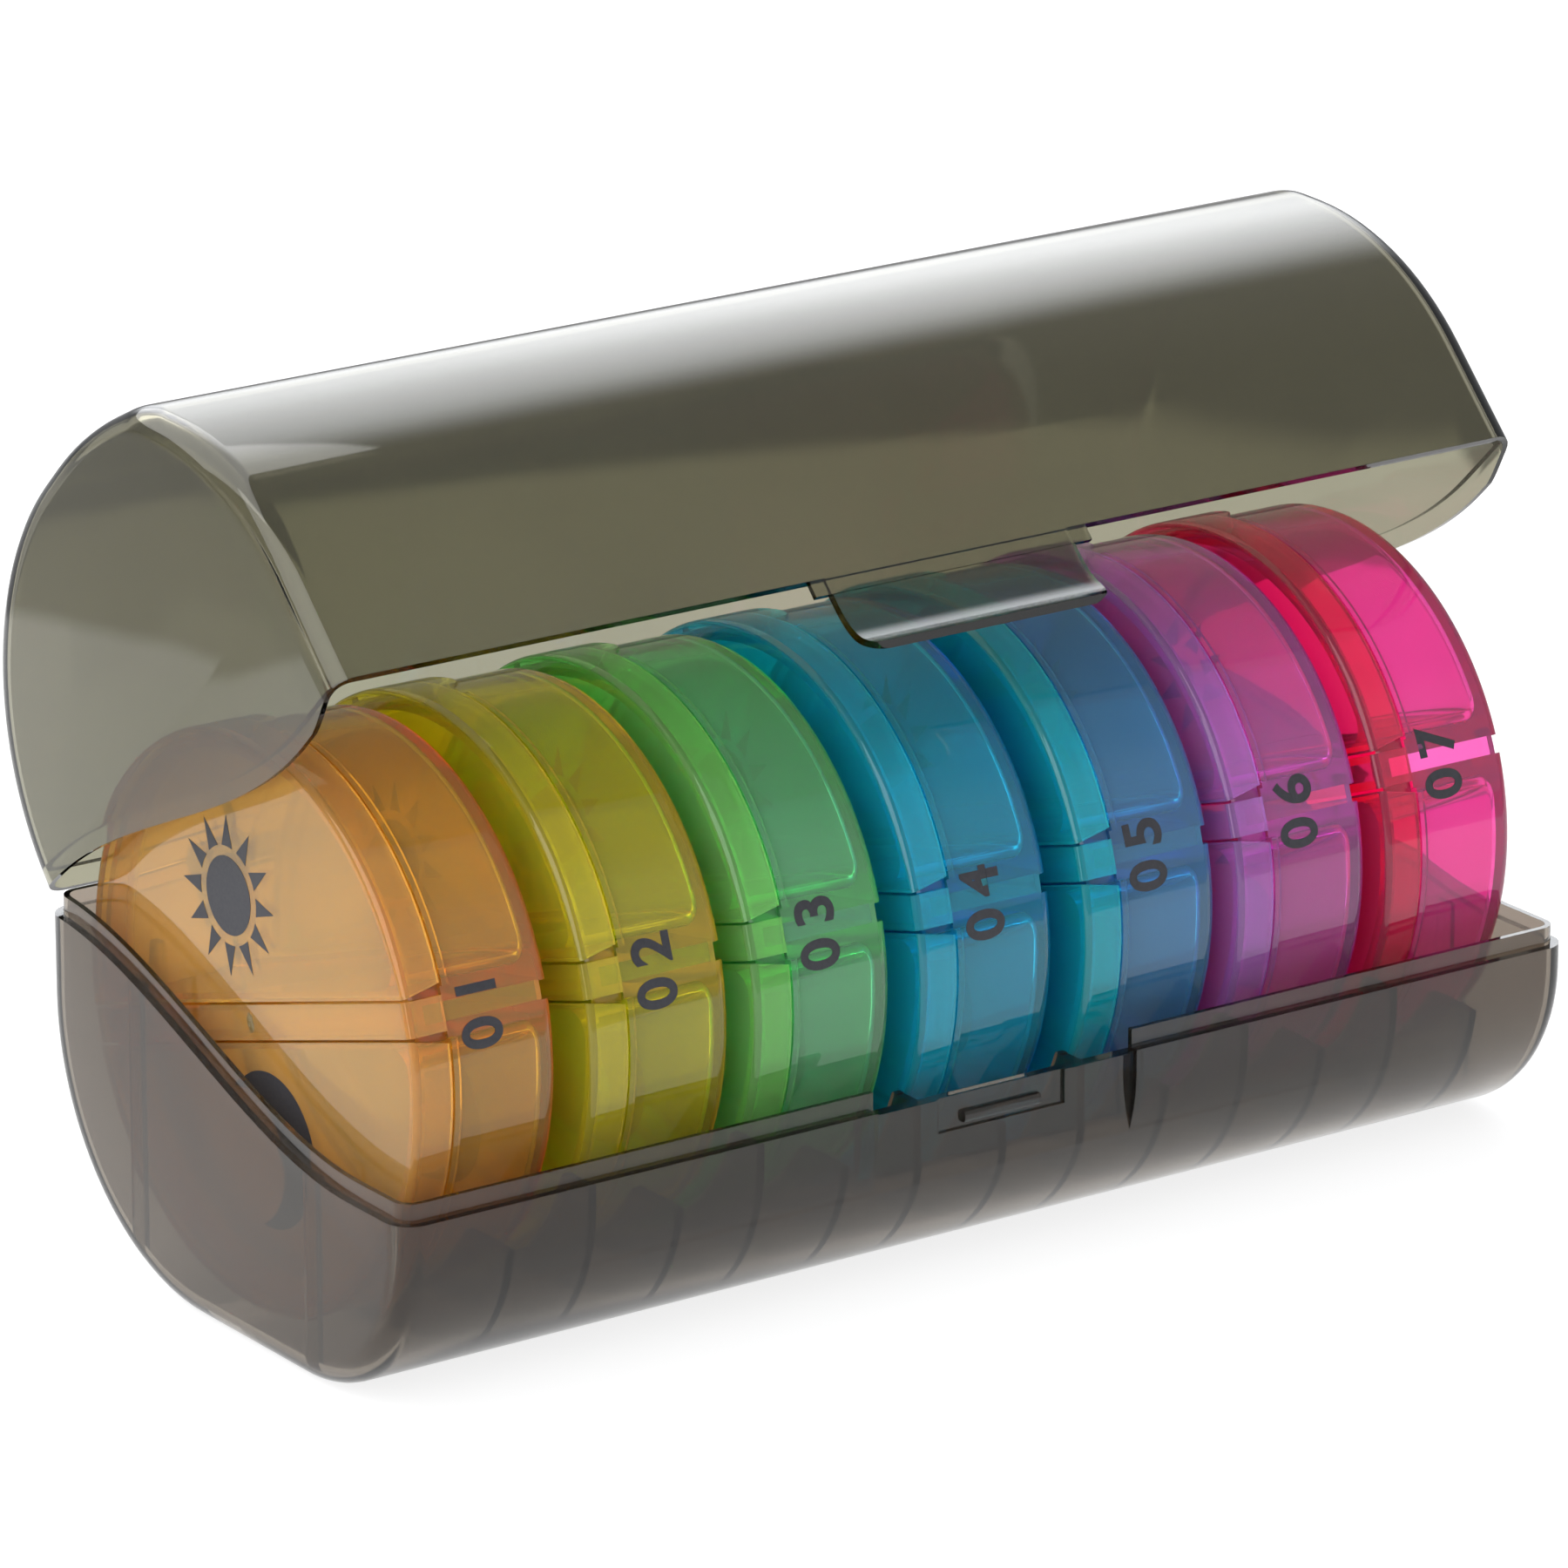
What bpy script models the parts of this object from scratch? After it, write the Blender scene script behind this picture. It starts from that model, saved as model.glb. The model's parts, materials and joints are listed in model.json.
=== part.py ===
"""Weekly travel pill organizer: seven round two-compartment day boxes in a hinged clear case.

Metres, +Z up. X runs along the row from Monday to Sunday, -Y is the latch side.
The origin lies on the flat underside, straight below the axis that the day boxes share.
The case lid stands open, as far as OPEN_ANGLE, and every other piece is shut.
"""
import math

import bmesh
import bpy
from mathutils import Vector

MM = 0.001
RUNNING_GAP = 0.3 * MM
OVERRUN = 4.0 * MM
ARC_STEP = math.radians(9)
HALF_TURN = math.pi

# Case, seen from above and as a wall
CASE_LENGTH = 153.4 * MM
CASE_HALF_DEPTH = 34.0 * MM
CASE_WALL = 1.6 * MM
END_EDGE = 2.2 * MM

# Room round the day boxes in the shut case
BOX_ROOM = 0.9 * MM
FRONT_ROOM = 2.4 * MM
ROOF_ROOM = 3.3 * MM
END_ROOM = 3.05 * MM
BOX_GAP = 3.6 * MM

# Day boxes
DAYS = ("mon", "tue", "wed", "thu", "fri", "sat", "sun")
DAY_SHIFT_SHARES = (-0.008, 0.02, 0.0, 0.01, 0.04, 0.014, -0.026)
DAY_ROLLS = (16.6, 16.2, 16.4, 14.6, 16.7, 18.2, 21.3)
DAY_COLOURS = (
    (0.90, 0.42, 0.08, 1),
    (0.72, 0.60, 0.02, 1),
    (0.20, 0.52, 0.10, 1),
    (0.00, 0.32, 0.62, 1),
    (0.00, 0.42, 0.52, 1),
    (0.36, 0.10, 0.42, 1),
    (0.82, 0.06, 0.22, 1),
)
BOX_ROW = CASE_LENGTH - 2 * (CASE_WALL + END_ROOM)
BOX_THICKNESS = (BOX_ROW - (len(DAYS) - 1) * BOX_GAP) / len(DAYS)
DAY_PITCH = BOX_THICKNESS + BOX_GAP

# Caps of a day box
CAP_RADIUS = CASE_HALF_DEPTH - CASE_WALL - BOX_ROOM
CAP_PLATE = 1.2 * MM
CAP_EDGE = 0.6 * MM
SKIRT_DEPTH = 4.2 * MM
SKIRT_WALL = 1.0 * MM
SKIRT_END_SLANT = 1.0 * MM
THUMB_TAB_WIDTH = 16.0 * MM
THUMB_TAB_REACH = 2.5 * MM
THUMB_TAB_CORNER = 1.6 * MM
BAR_WIDTH = 3.76 * MM
BAR_END_WALL = 0.8 * MM

# Cup of a day box
CUP_STEP_IN = 0.8 * MM
CUP_WALL = 1.2 * MM
CUP_FLOOR = 1.3 * MM
CUP_EDGE = 3.0 * MM
BEAD_WIDTH = 0.8 * MM
BEAD_HEIGHT = 0.6 * MM
BEAD_MARGIN = 0.8 * MM
SLOT_WIDTH = 2.0 * MM
DIVIDER_WALL = 1.7 * MM
SLOT_FLOOR = 1.6 * MM
CUP_RADIUS = CAP_RADIUS - CUP_STEP_IN
BOX_AXIS_HEIGHT = CASE_WALL + BOX_ROOM + CAP_RADIUS

# Case outline across the row, as rounded corners: places and big radii by a share of the half
# depth, the radii of the brow and the shoulder in front by a share of the shoulder's drop
CASE_TOP = BOX_AXIS_HEIGHT + CAP_RADIUS + ROOF_ROOM + CASE_WALL
FRONT_WALL_Y = -(CAP_RADIUS + FRONT_ROOM + CASE_WALL)
SHOULDER_DROP = 18.6 * MM
SHOULDER_HEIGHT = CASE_TOP - SHOULDER_DROP
BROW_DROP = 4.2 * MM
BROW_SET_BACK_SHARE = 0.4044
BROW_RUN_SHARE = 0.3809
FRONT_FOOT_SHARE = 0.597
REAR_FOOT_SHARE = 0.849
REAR_CROWN_SHARE = 0.971
ROOF_SHARE = 1.323
BROW_SHARE = 0.645
SHOULDER_SHARE = 1.935
FRONT_FOOT_RADIUS = FRONT_FOOT_SHARE * CASE_HALF_DEPTH
REAR_FOOT_RADIUS = REAR_FOOT_SHARE * CASE_HALF_DEPTH
REAR_CROWN_RADIUS = REAR_CROWN_SHARE * CASE_HALF_DEPTH
ROOF_RADIUS = ROOF_SHARE * CASE_HALF_DEPTH
BROW_RADIUS = BROW_SHARE * SHOULDER_DROP
SHOULDER_RADIUS = SHOULDER_SHARE * SHOULDER_DROP

# Rim where the lid meets the base, an S-curve on each end wall
FRONT_RIM = 22.8 * MM
REAR_RIM = 37.7 * MM
RIM_FRONT_LEVEL = 9.9 * MM
RIM_REAR_LEVEL = 0.4 * MM
RIM_CLIMB_FROM = FRONT_WALL_Y + RIM_FRONT_LEVEL
RIM_CLIMB_TO = CASE_HALF_DEPTH - RIM_REAR_LEVEL
RIM_STEPS = 12
TONGUE_HEIGHT = 2.1 * MM
TONGUE_WALL = 0.65 * MM

# Ribs inside the base
RIB_WALL = 1.0 * MM
SEPARATOR_DROP = 0.6 * MM
CRADLE_DROP = 5.5 * MM
CRADLE_PLACE_SHARE = 0.54
END_RIB_WIDTH = 2.4 * MM
END_RIB_DEPTH = 0.6 * MM
END_RIB_PLACE_SHARE = 0.5

# Latch at the middle of the front
PANEL_WIDTH = 34.0 * MM
PANEL_SET_BACK = 1.2 * MM
PANEL_TOP_DROP = 0.7 * MM
PANEL_FOOT_OVERLAP = 5.0 * MM
PANEL_BOTTOM = FRONT_FOOT_RADIUS - PANEL_FOOT_OVERLAP
WINDOW_WIDTH = 16.6 * MM
WINDOW_HEIGHT = 3.8 * MM
WINDOW_DEPTH = 0.4 * MM
CATCH_WIDTH = 10.0 * MM
CATCH_HEIGHT = 1.3 * MM
CATCH_REACH = 0.3 * MM
FLAP_SIDE_ROOM = 1.3 * MM
FLAP_WIDTH = PANEL_WIDTH - 2 * FLAP_SIDE_ROOM
FLAP_LENGTH = 8.0 * MM
FLAP_WALL = 0.95 * MM
FLAP_STEP = 0.15 * MM
FLAP_CURL = 2.6 * MM
FLAP_CORNER = 2.5 * MM
FLAP_STEPS = 6

# Case hinge
HINGE_STAND_OFF = 1.7 * MM
HINGE_RISE = 0.2 * MM
HINGE_INSET = 28.7 * MM
HINGE_Y = CASE_HALF_DEPTH + HINGE_STAND_OFF
HINGE_HEIGHT = REAR_RIM + HINGE_RISE
HINGE_PLACE = CASE_LENGTH / 2 - HINGE_INSET
OPEN_ANGLE = 44.5
EYE_RADIUS = 2.0 * MM
EYE_STEPS = 16
LUG_WIDTH = 7.0 * MM
EAR_WIDTH = 3.5 * MM
PIN_RADIUS = 1.0 * MM
LEAF_WALL = 1.6 * MM
LEAF_LENGTH = 6.5 * MM

CUP_FRONT = CAP_PLATE + RUNNING_GAP
CUP_COLLAR_RADIUS = CAP_RADIUS - SKIRT_WALL - RUNNING_GAP
BEAD_FROM = SKIRT_DEPTH + RUNNING_GAP
CAP_HINGE = BAR_WIDTH / 2 + RUNNING_GAP / 2


def clear_scene():
    for item in list(bpy.data.objects):
        bpy.data.objects.remove(item, do_unlink=True)


def plastic(name, colour, roughness):
    material = bpy.data.materials.new(name)
    material.use_nodes = True
    shader = material.node_tree.nodes["Principled BSDF"]
    shader.inputs["Base Color"].default_value = colour
    shader.inputs["Roughness"].default_value = roughness
    shader.inputs["Metallic"].default_value = 0
    shader.inputs["Transmission Weight"].default_value = 0.7
    return material


def add_object(name, mesh_data, material=None, parent=None, place=(0, 0, 0)):
    item = bpy.data.objects.new(name, mesh_data)
    bpy.context.collection.objects.link(item)
    item.location = place
    item.parent = parent
    if material:
        mesh_data.materials.append(material)
    return item


def finish_mesh(name, work):
    bmesh.ops.recalc_face_normals(work, faces=work.faces)
    data = bpy.data.meshes.new(name)
    work.to_mesh(data)
    work.free()
    data.shade_smooth()
    data.set_sharp_from_angle(angle=math.radians(30))
    return data


def cut_with(item, tool, operation="DIFFERENCE"):
    tool.hide_render = True
    tool.display_type = "WIRE"
    step = item.modifiers.new(tool.name, "BOOLEAN")
    step.operation = operation
    step.solver = "EXACT"
    step.object = tool


def prism_mesh(name, outline, low, high, edge=0.0):
    """A solid with one (y, z) outline from low to high along X, its end edges rounded by edge."""
    work = bmesh.new()
    near = [work.verts.new((low, y, z)) for y, z in outline]
    far = [work.verts.new((high, y, z)) for y, z in outline]
    count = len(outline)
    caps = [work.faces.new(near), work.faces.new(far[::-1])]
    for i in range(count):
        k = (i + 1) % count
        work.faces.new((near[i], far[i], far[k], near[k]))
    if edge:
        rims = list({side for cap in caps for side in cap.edges})
        bmesh.ops.bevel(work, geom=rims, offset=edge, segments=2, affect="EDGES", profile=0.5)
    return finish_mesh(name, work)


def block_mesh(name, low, high):
    return prism_mesh(name, [(low[1], low[2]), (high[1], low[2]), (high[1], high[2]), (low[1], high[2])],
                      low[0], high[0])


def turned_mesh(name, profile, steps):
    """A solid of revolution about X from (x, radius) points, closed flat at both ends."""
    work = bmesh.new()
    rings = []
    for x, radius in profile:
        turn = [2 * HALF_TURN * k / steps for k in range(steps)]
        rings.append([work.verts.new((x, radius * math.cos(a), radius * math.sin(a))) for a in turn])
    for ring, after in zip(rings, rings[1:]):
        for k in range(steps):
            j = (k + 1) % steps
            work.faces.new((ring[k], ring[j], after[j], after[k]))
    work.faces.new(rings[0])
    work.faces.new(rings[-1][::-1])
    return finish_mesh(name, work)


def arc(centre, radius, start, end, steps=None):
    """Points of an arc in the (y, z) plane, ends included."""
    count = steps or max(2, round(abs(end - start) / ARC_STEP))
    angles = [start + (end - start) * k / count for k in range(count + 1)]
    return [(centre[0] + radius * math.cos(a), centre[1] + radius * math.sin(a)) for a in angles]


def rounded_outline(corners, inset=0.0):
    """A convex outline from (y, z, radius) corners given anticlockwise, moved inwards by inset."""
    points = [Vector(c[:2]) for c in corners]
    count = len(points)
    sides = []
    for i in range(count):
        along = (points[(i + 1) % count] - points[i]).normalized()
        inwards = Vector((-along.y, along.x))
        sides.append((points[i] + inwards * inset, along))
    outline = []
    for i in range(count):
        (start, before), (base, after) = sides[i - 1], sides[i]
        turn = before.x * after.y - before.y * after.x
        reach = ((base.x - start.x) * after.y - (base.y - start.y) * after.x) / turn
        corner = start + before * reach
        radius = corners[i][2] - inset
        bend = math.acos(max(-1, min(1, before.dot(after))))
        tangent = radius * math.tan(bend / 2)
        first = corner - before * tangent
        centre = first + Vector((-before.y, before.x)) * radius
        angle = math.atan2(first.y - centre.y, first.x - centre.x)
        outline += arc(centre, radius, angle, angle + bend)
    return outline


def case_outline(inset=0.0):
    """The shut case seen along the row: round over the boxes at the rear, a squarer brow in front."""
    brow = FRONT_WALL_Y + BROW_SET_BACK_SHARE * CASE_HALF_DEPTH
    roof_end = brow + BROW_RUN_SHARE * CASE_HALF_DEPTH
    return rounded_outline([
        (CASE_HALF_DEPTH, 0, REAR_FOOT_RADIUS),
        (CASE_HALF_DEPTH, CASE_TOP, REAR_CROWN_RADIUS),
        (roof_end, CASE_TOP, ROOF_RADIUS),
        (brow, CASE_TOP - BROW_DROP, BROW_RADIUS),
        (FRONT_WALL_Y, SHOULDER_HEIGHT, SHOULDER_RADIUS),
        (FRONT_WALL_Y, 0, FRONT_FOOT_RADIUS),
    ], inset)


def case_solid(name, inset):
    half = CASE_LENGTH / 2 - inset
    edge = max(END_EDGE - inset, RUNNING_GAP)
    return add_object(name, prism_mesh(name, case_outline(inset), -half, half, edge))


def rim_height(y):
    share = max(0, min(1, (y - RIM_CLIMB_FROM) / (RIM_CLIMB_TO - RIM_CLIMB_FROM)))
    return FRONT_RIM + (REAR_RIM - FRONT_RIM) * share * share * (3 - 2 * share)


def above_rim(name, lift):
    """Everything above the rim curve raised by lift."""
    front = FRONT_WALL_Y - OVERRUN
    rear = CASE_HALF_DEPTH + OVERRUN
    span = RIM_CLIMB_TO - RIM_CLIMB_FROM
    ys = [front] + [RIM_CLIMB_FROM + span * k / RIM_STEPS for k in range(RIM_STEPS + 1)] + [rear]
    outline = [(y, rim_height(y) + lift) for y in ys]
    outline += [(rear, CASE_TOP + OVERRUN), (front, CASE_TOP + OVERRUN)]
    half = CASE_LENGTH / 2 + OVERRUN
    return add_object(name, prism_mesh(name, outline, -half, half))


def box_places():
    """X of each day box's cap face and its shift from the even row."""
    first = -BOX_ROW / 2
    return [first + DAY_PITCH * (i + share) for i, share in enumerate(DAY_SHIFT_SHARES)]


def rib(name, x, inner_radius, drop):
    """A U-shaped rib across the base, round the box axis, ending a little under the rim."""
    front_top = FRONT_RIM - drop
    rear_top = REAR_RIM - drop
    front_end = FRONT_WALL_Y + CASE_WALL / 2
    rear_end = CASE_HALF_DEPTH - CASE_WALL / 2
    front = HALF_TURN + math.asin((BOX_AXIS_HEIGHT - front_top) / inner_radius)
    rear = 2 * HALF_TURN + math.asin(min(1, (rear_top - BOX_AXIS_HEIGHT) / inner_radius))
    inside = arc((0, BOX_AXIS_HEIGHT), inner_radius, front, rear)
    below = case_outline(CASE_WALL / 2)
    foot = [p for p in below if p[1] < front_top]
    front_side = [p for p in foot if p[0] < 0]
    rear_side = [p for p in below if p[0] > 0 and p[1] < rear_top]
    rear_side.sort(key=lambda p: p[1])
    front_side.sort(key=lambda p: -p[1])
    shell = [(front_end, front_top)] + front_side + rear_side + [(rear_end, rear_top)]
    outline = shell + inside[::-1]
    return add_object(name, prism_mesh(name, outline, x - RIB_WALL / 2, x + RIB_WALL / 2))


def add_ribs(base):
    """Separators in the gaps between the boxes and cradles under their middles."""
    places = box_places()
    for i, place in enumerate(places):
        cradle_x = -BOX_ROW / 2 + DAY_PITCH * i + BOX_THICKNESS * CRADLE_PLACE_SHARE
        cut_with(base, rib(f"cradle_{i}", cradle_x, CUP_RADIUS + RUNNING_GAP, CRADLE_DROP), "UNION")
        if i:
            middle = (places[i - 1] + BOX_THICKNESS + place) / 2
            radius = CAP_RADIUS + RUNNING_GAP
            cut_with(base, rib(f"separator_{i}", middle, radius, SEPARATOR_DROP), "UNION")


def add_end_ribs(base):
    """Upright strips on the inside of both end walls."""
    within = case_solid("end_rib_room", CASE_WALL / 2)
    inner = CASE_LENGTH / 2 - CASE_WALL
    for side in (-1, 1):
        for share in (-END_RIB_PLACE_SHARE, END_RIB_PLACE_SHARE):
            y = share * CASE_HALF_DEPTH
            ends = sorted((side * (inner - END_RIB_DEPTH), side * (inner + CASE_WALL / 2)))
            low = (ends[0], y - END_RIB_WIDTH / 2, CASE_WALL / 2)
            high = (ends[1], y + END_RIB_WIDTH / 2, rim_height(y) - SEPARATOR_DROP)
            name = f"end_rib_{side}_{share}"
            strip = add_object(name, block_mesh(name, low, high))
            cut_with(strip, within, "INTERSECT")
            cut_with(base, strip, "UNION")


def add_catch(base):
    """A flat panel set back in the front wall, with a shallow window and the catch bar in it."""
    face = FRONT_WALL_Y + PANEL_SET_BACK
    top = FRONT_RIM - PANEL_TOP_DROP
    half = PANEL_WIDTH / 2
    plate = block_mesh("panel_plate", (-half - CASE_WALL, face, PANEL_BOTTOM),
                       (half + CASE_WALL, face + CASE_WALL, top))
    cut_with(base, add_object("panel_plate", plate), "UNION")
    recess = block_mesh("panel_recess", (-half, FRONT_WALL_Y - OVERRUN, 0), (half, face, CASE_TOP))
    cut_with(base, add_object("panel_recess", recess))
    above = block_mesh("panel_top", (-half, FRONT_WALL_Y - OVERRUN, top),
                       (half, face + OVERRUN, FRONT_RIM + TONGUE_HEIGHT + OVERRUN))
    cut_with(base, add_object("panel_top", above))
    window = block_mesh("window", (-WINDOW_WIDTH / 2, face - OVERRUN, top - WINDOW_HEIGHT),
                        (WINDOW_WIDTH / 2, face + WINDOW_DEPTH, top + OVERRUN))
    cut_with(base, add_object("window", window))
    low = top - WINDOW_HEIGHT / 2 - CATCH_HEIGHT
    bar = prism_mesh("catch_bar", [
        (face - CATCH_REACH, low + CATCH_HEIGHT / 4),
        (face - CATCH_REACH / 2, low),
        (face + CASE_WALL / 2, low),
        (face + CASE_WALL / 2, low + CATCH_HEIGHT),
        (face - CATCH_REACH / 2, low + CATCH_HEIGHT),
        (face - CATCH_REACH, low + CATCH_HEIGHT * 3 / 4),
    ], -CATCH_WIDTH / 2, CATCH_WIDTH / 2)
    cut_with(base, add_object("catch_bar", bar), "UNION")


def disc_mesh(name, radius, low, high, centre=(HINGE_Y, HINGE_HEIGHT)):
    outline = arc(centre, radius, 0, 2 * HALF_TURN, EYE_STEPS)[:-1]
    return prism_mesh(name, outline, low, high)


def ear_spans(side):
    """X spans of the two base ears and of the lid lug between them."""
    middle = side * HINGE_PLACE
    inner = LUG_WIDTH / 2 + RUNNING_GAP
    ears = [(middle - inner - EAR_WIDTH, middle - inner), (middle + inner, middle + inner + EAR_WIDTH)]
    return ears, (middle - LUG_WIDTH / 2, middle + LUG_WIDTH / 2)


def rear_wall(z):
    """Y of the case's outside at the rear: upright in the middle, rounded above and below."""
    above = max(0, z - (CASE_TOP - REAR_CROWN_RADIUS))
    below = max(0, REAR_FOOT_RADIUS - z)
    crown = REAR_CROWN_RADIUS - math.sqrt(REAR_CROWN_RADIUS ** 2 - above ** 2)
    foot = REAR_FOOT_RADIUS - math.sqrt(REAR_FOOT_RADIUS ** 2 - below ** 2)
    return CASE_HALF_DEPTH - crown - foot


def hinge_leaf(name, span, direction):
    """A strip from the hinge eye along the rear wall, down on the base and up on the lid."""
    end = HINGE_HEIGHT + direction * LEAF_LENGTH
    wall = rear_wall(HINGE_HEIGHT) - CASE_WALL / 2
    wall_end = rear_wall(end)
    outline = [(wall_end - CASE_WALL / 2, end), (wall_end + LEAF_WALL / 2, end),
               (HINGE_Y + EYE_RADIUS, HINGE_HEIGHT), (wall, HINGE_HEIGHT)]
    if direction > 0:
        outline.reverse()
    return add_object(name, prism_mesh(name, outline, *span))


def add_base_ears(base):
    for side in (-1, 1):
        ears, lug = ear_spans(side)
        notch = disc_mesh("lug_room", EYE_RADIUS + RUNNING_GAP, lug[0] - RUNNING_GAP, lug[1] + RUNNING_GAP)
        cut_with(base, add_object(f"lug_room_{side}", notch))
        for k, span in enumerate(ears):
            cut_with(base, hinge_leaf(f"ear_leaf_{side}_{k}", span, -1), "UNION")
            eye = disc_mesh("ear_eye", EYE_RADIUS, *span)
            cut_with(base, add_object(f"ear_eye_{side}_{k}", eye), "UNION")
            bore = disc_mesh("ear_bore", PIN_RADIUS + RUNNING_GAP, span[0] - RUNNING_GAP, span[1] + RUNNING_GAP)
            cut_with(base, add_object(f"ear_bore_{side}_{k}", bore))


def build_base(material):
    base = case_solid("case_base", 0)
    base.data.materials.append(material)
    cut_with(base, above_rim("base_rim", 0))
    tongue = case_solid("tongue", CASE_WALL - TONGUE_WALL)
    cut_with(tongue, above_rim("tongue_rim", TONGUE_HEIGHT))
    cut_with(base, tongue, "UNION")
    cut_with(base, case_solid("base_cavity", CASE_WALL))
    add_ribs(base)
    add_end_ribs(base)
    add_catch(base)
    add_base_ears(base)
    return base


def flap_outline():
    """Section of the latch flap: it goes on from the lid's front wall and curls outwards at its end."""
    root = FRONT_RIM + RUNNING_GAP
    top = root + TONGUE_HEIGHT
    start = FRONT_WALL_Y + FLAP_STEP + FLAP_WALL
    outside = []
    inside = []
    for k in range(FLAP_STEPS + 1):
        share = k / FLAP_STEPS
        z = root - FLAP_LENGTH * share
        y = start - FLAP_CURL * share ** 3
        lean = math.atan(3 * FLAP_CURL * share ** 2 / FLAP_LENGTH)
        outside.append((y - FLAP_WALL * math.cos(lean), z + FLAP_WALL * math.sin(lean)))
        inside.append((y, z))
    return [(start - FLAP_WALL, top)] + outside + inside[::-1] + [(start, top)]


def add_flap(lid):
    """The flap, with its two lower corners rounded, joined to the lid's front wall."""
    half = FLAP_WIDTH / 2
    flap = add_object("flap", prism_mesh("flap", flap_outline(), -half, half))
    bottom = FRONT_RIM + RUNNING_GAP - FLAP_LENGTH - OVERRUN
    for side in (-1, 1):
        centre = Vector((side * (half - FLAP_CORNER), bottom + OVERRUN + FLAP_CORNER))
        corner = [(side * (half + OVERRUN), centre.y), (side * (half + OVERRUN), bottom)]
        corner += [(centre.x, bottom)]
        curve = arc(centre, FLAP_CORNER, -HALF_TURN / 2, 0 if side > 0 else -HALF_TURN, 4)
        corner += curve
        cut_with(flap, front_cutter(f"flap_corner_{side}", corner))
    cut_with(lid, flap, "UNION")


def front_cutter(name, outline):
    """A solid with one (x, z) outline, right through the front of the case."""
    work = bmesh.new()
    near = [work.verts.new((x, FRONT_WALL_Y - FLAP_CURL - OVERRUN, z)) for x, z in outline]
    far = [work.verts.new((x, FRONT_WALL_Y + OVERRUN, z)) for x, z in outline]
    work.faces.new(near)
    work.faces.new(far[::-1])
    for i in range(len(outline)):
        k = (i + 1) % len(outline)
        work.faces.new((near[i], far[i], far[k], near[k]))
    return add_object(name, finish_mesh(name, work))


def add_lid_lugs(lid):
    for side in (-1, 1):
        ears, lug = ear_spans(side)
        for k, span in enumerate(ears):
            room = disc_mesh("ear_room", EYE_RADIUS + RUNNING_GAP, span[0] - RUNNING_GAP, span[1] + RUNNING_GAP)
            cut_with(lid, add_object(f"ear_room_{side}_{k}", room))
        cut_with(lid, hinge_leaf(f"lug_leaf_{side}", lug, 1), "UNION")
        cut_with(lid, add_object(f"lug_eye_{side}", disc_mesh("lug_eye", EYE_RADIUS, *lug)), "UNION")
        pin = disc_mesh("hinge_pin", PIN_RADIUS, ears[0][0], ears[1][1])
        cut_with(lid, add_object(f"hinge_pin_{side}", pin), "UNION")


def build_lid(material):
    """The lid is made in its shut place; everything then turns open about the hinge line."""
    before = set(bpy.data.objects)
    lid = case_solid("case_lid", 0)
    lid.data.materials.append(material)
    cut_with(lid, above_rim("lid_rim", RUNNING_GAP), "INTERSECT")
    cut_with(lid, case_solid("lid_cavity", CASE_WALL))
    rebate = case_solid("lid_rebate", TONGUE_WALL)
    cut_with(rebate, above_rim("rebate_top", TONGUE_HEIGHT + RUNNING_GAP))
    cut_with(lid, rebate)
    add_flap(lid)
    add_lid_lugs(lid)
    hinge = bpy.data.objects.new("case_hinge_axis", None)
    bpy.context.collection.objects.link(hinge)
    hinge.location = (0, HINGE_Y, HINGE_HEIGHT)
    for item in set(bpy.data.objects) - before - {hinge}:
        item.parent = hinge
        item.location = (0, -HINGE_Y, -HINGE_HEIGHT)
    hinge.rotation_euler.x = -math.radians(OPEN_ANGLE)
    return lid


def cup_profile():
    """Outside of the cup from its open end to its rounded back, as (x, radius)."""
    back = BOX_THICKNESS
    edge = [(back - CUP_EDGE * (1 - math.sin(a)), CUP_RADIUS - CUP_EDGE * (1 - math.cos(a)))
            for a in (0, HALF_TURN / 6, HALF_TURN / 3, HALF_TURN / 2)]
    return [(CUP_FRONT, CUP_COLLAR_RADIUS), (BEAD_FROM, CUP_COLLAR_RADIUS), (BEAD_FROM, CUP_RADIUS)] + edge


def half_round_outline(radius, chord, side):
    """A half-round pocket outline above (side 1) or below (side -1) the divider."""
    start = math.asin(chord / radius)
    points = arc((0, 0), radius, start, HALF_TURN - start)
    return points if side > 0 else [(y, -z) for y, z in points[::-1]]


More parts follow.
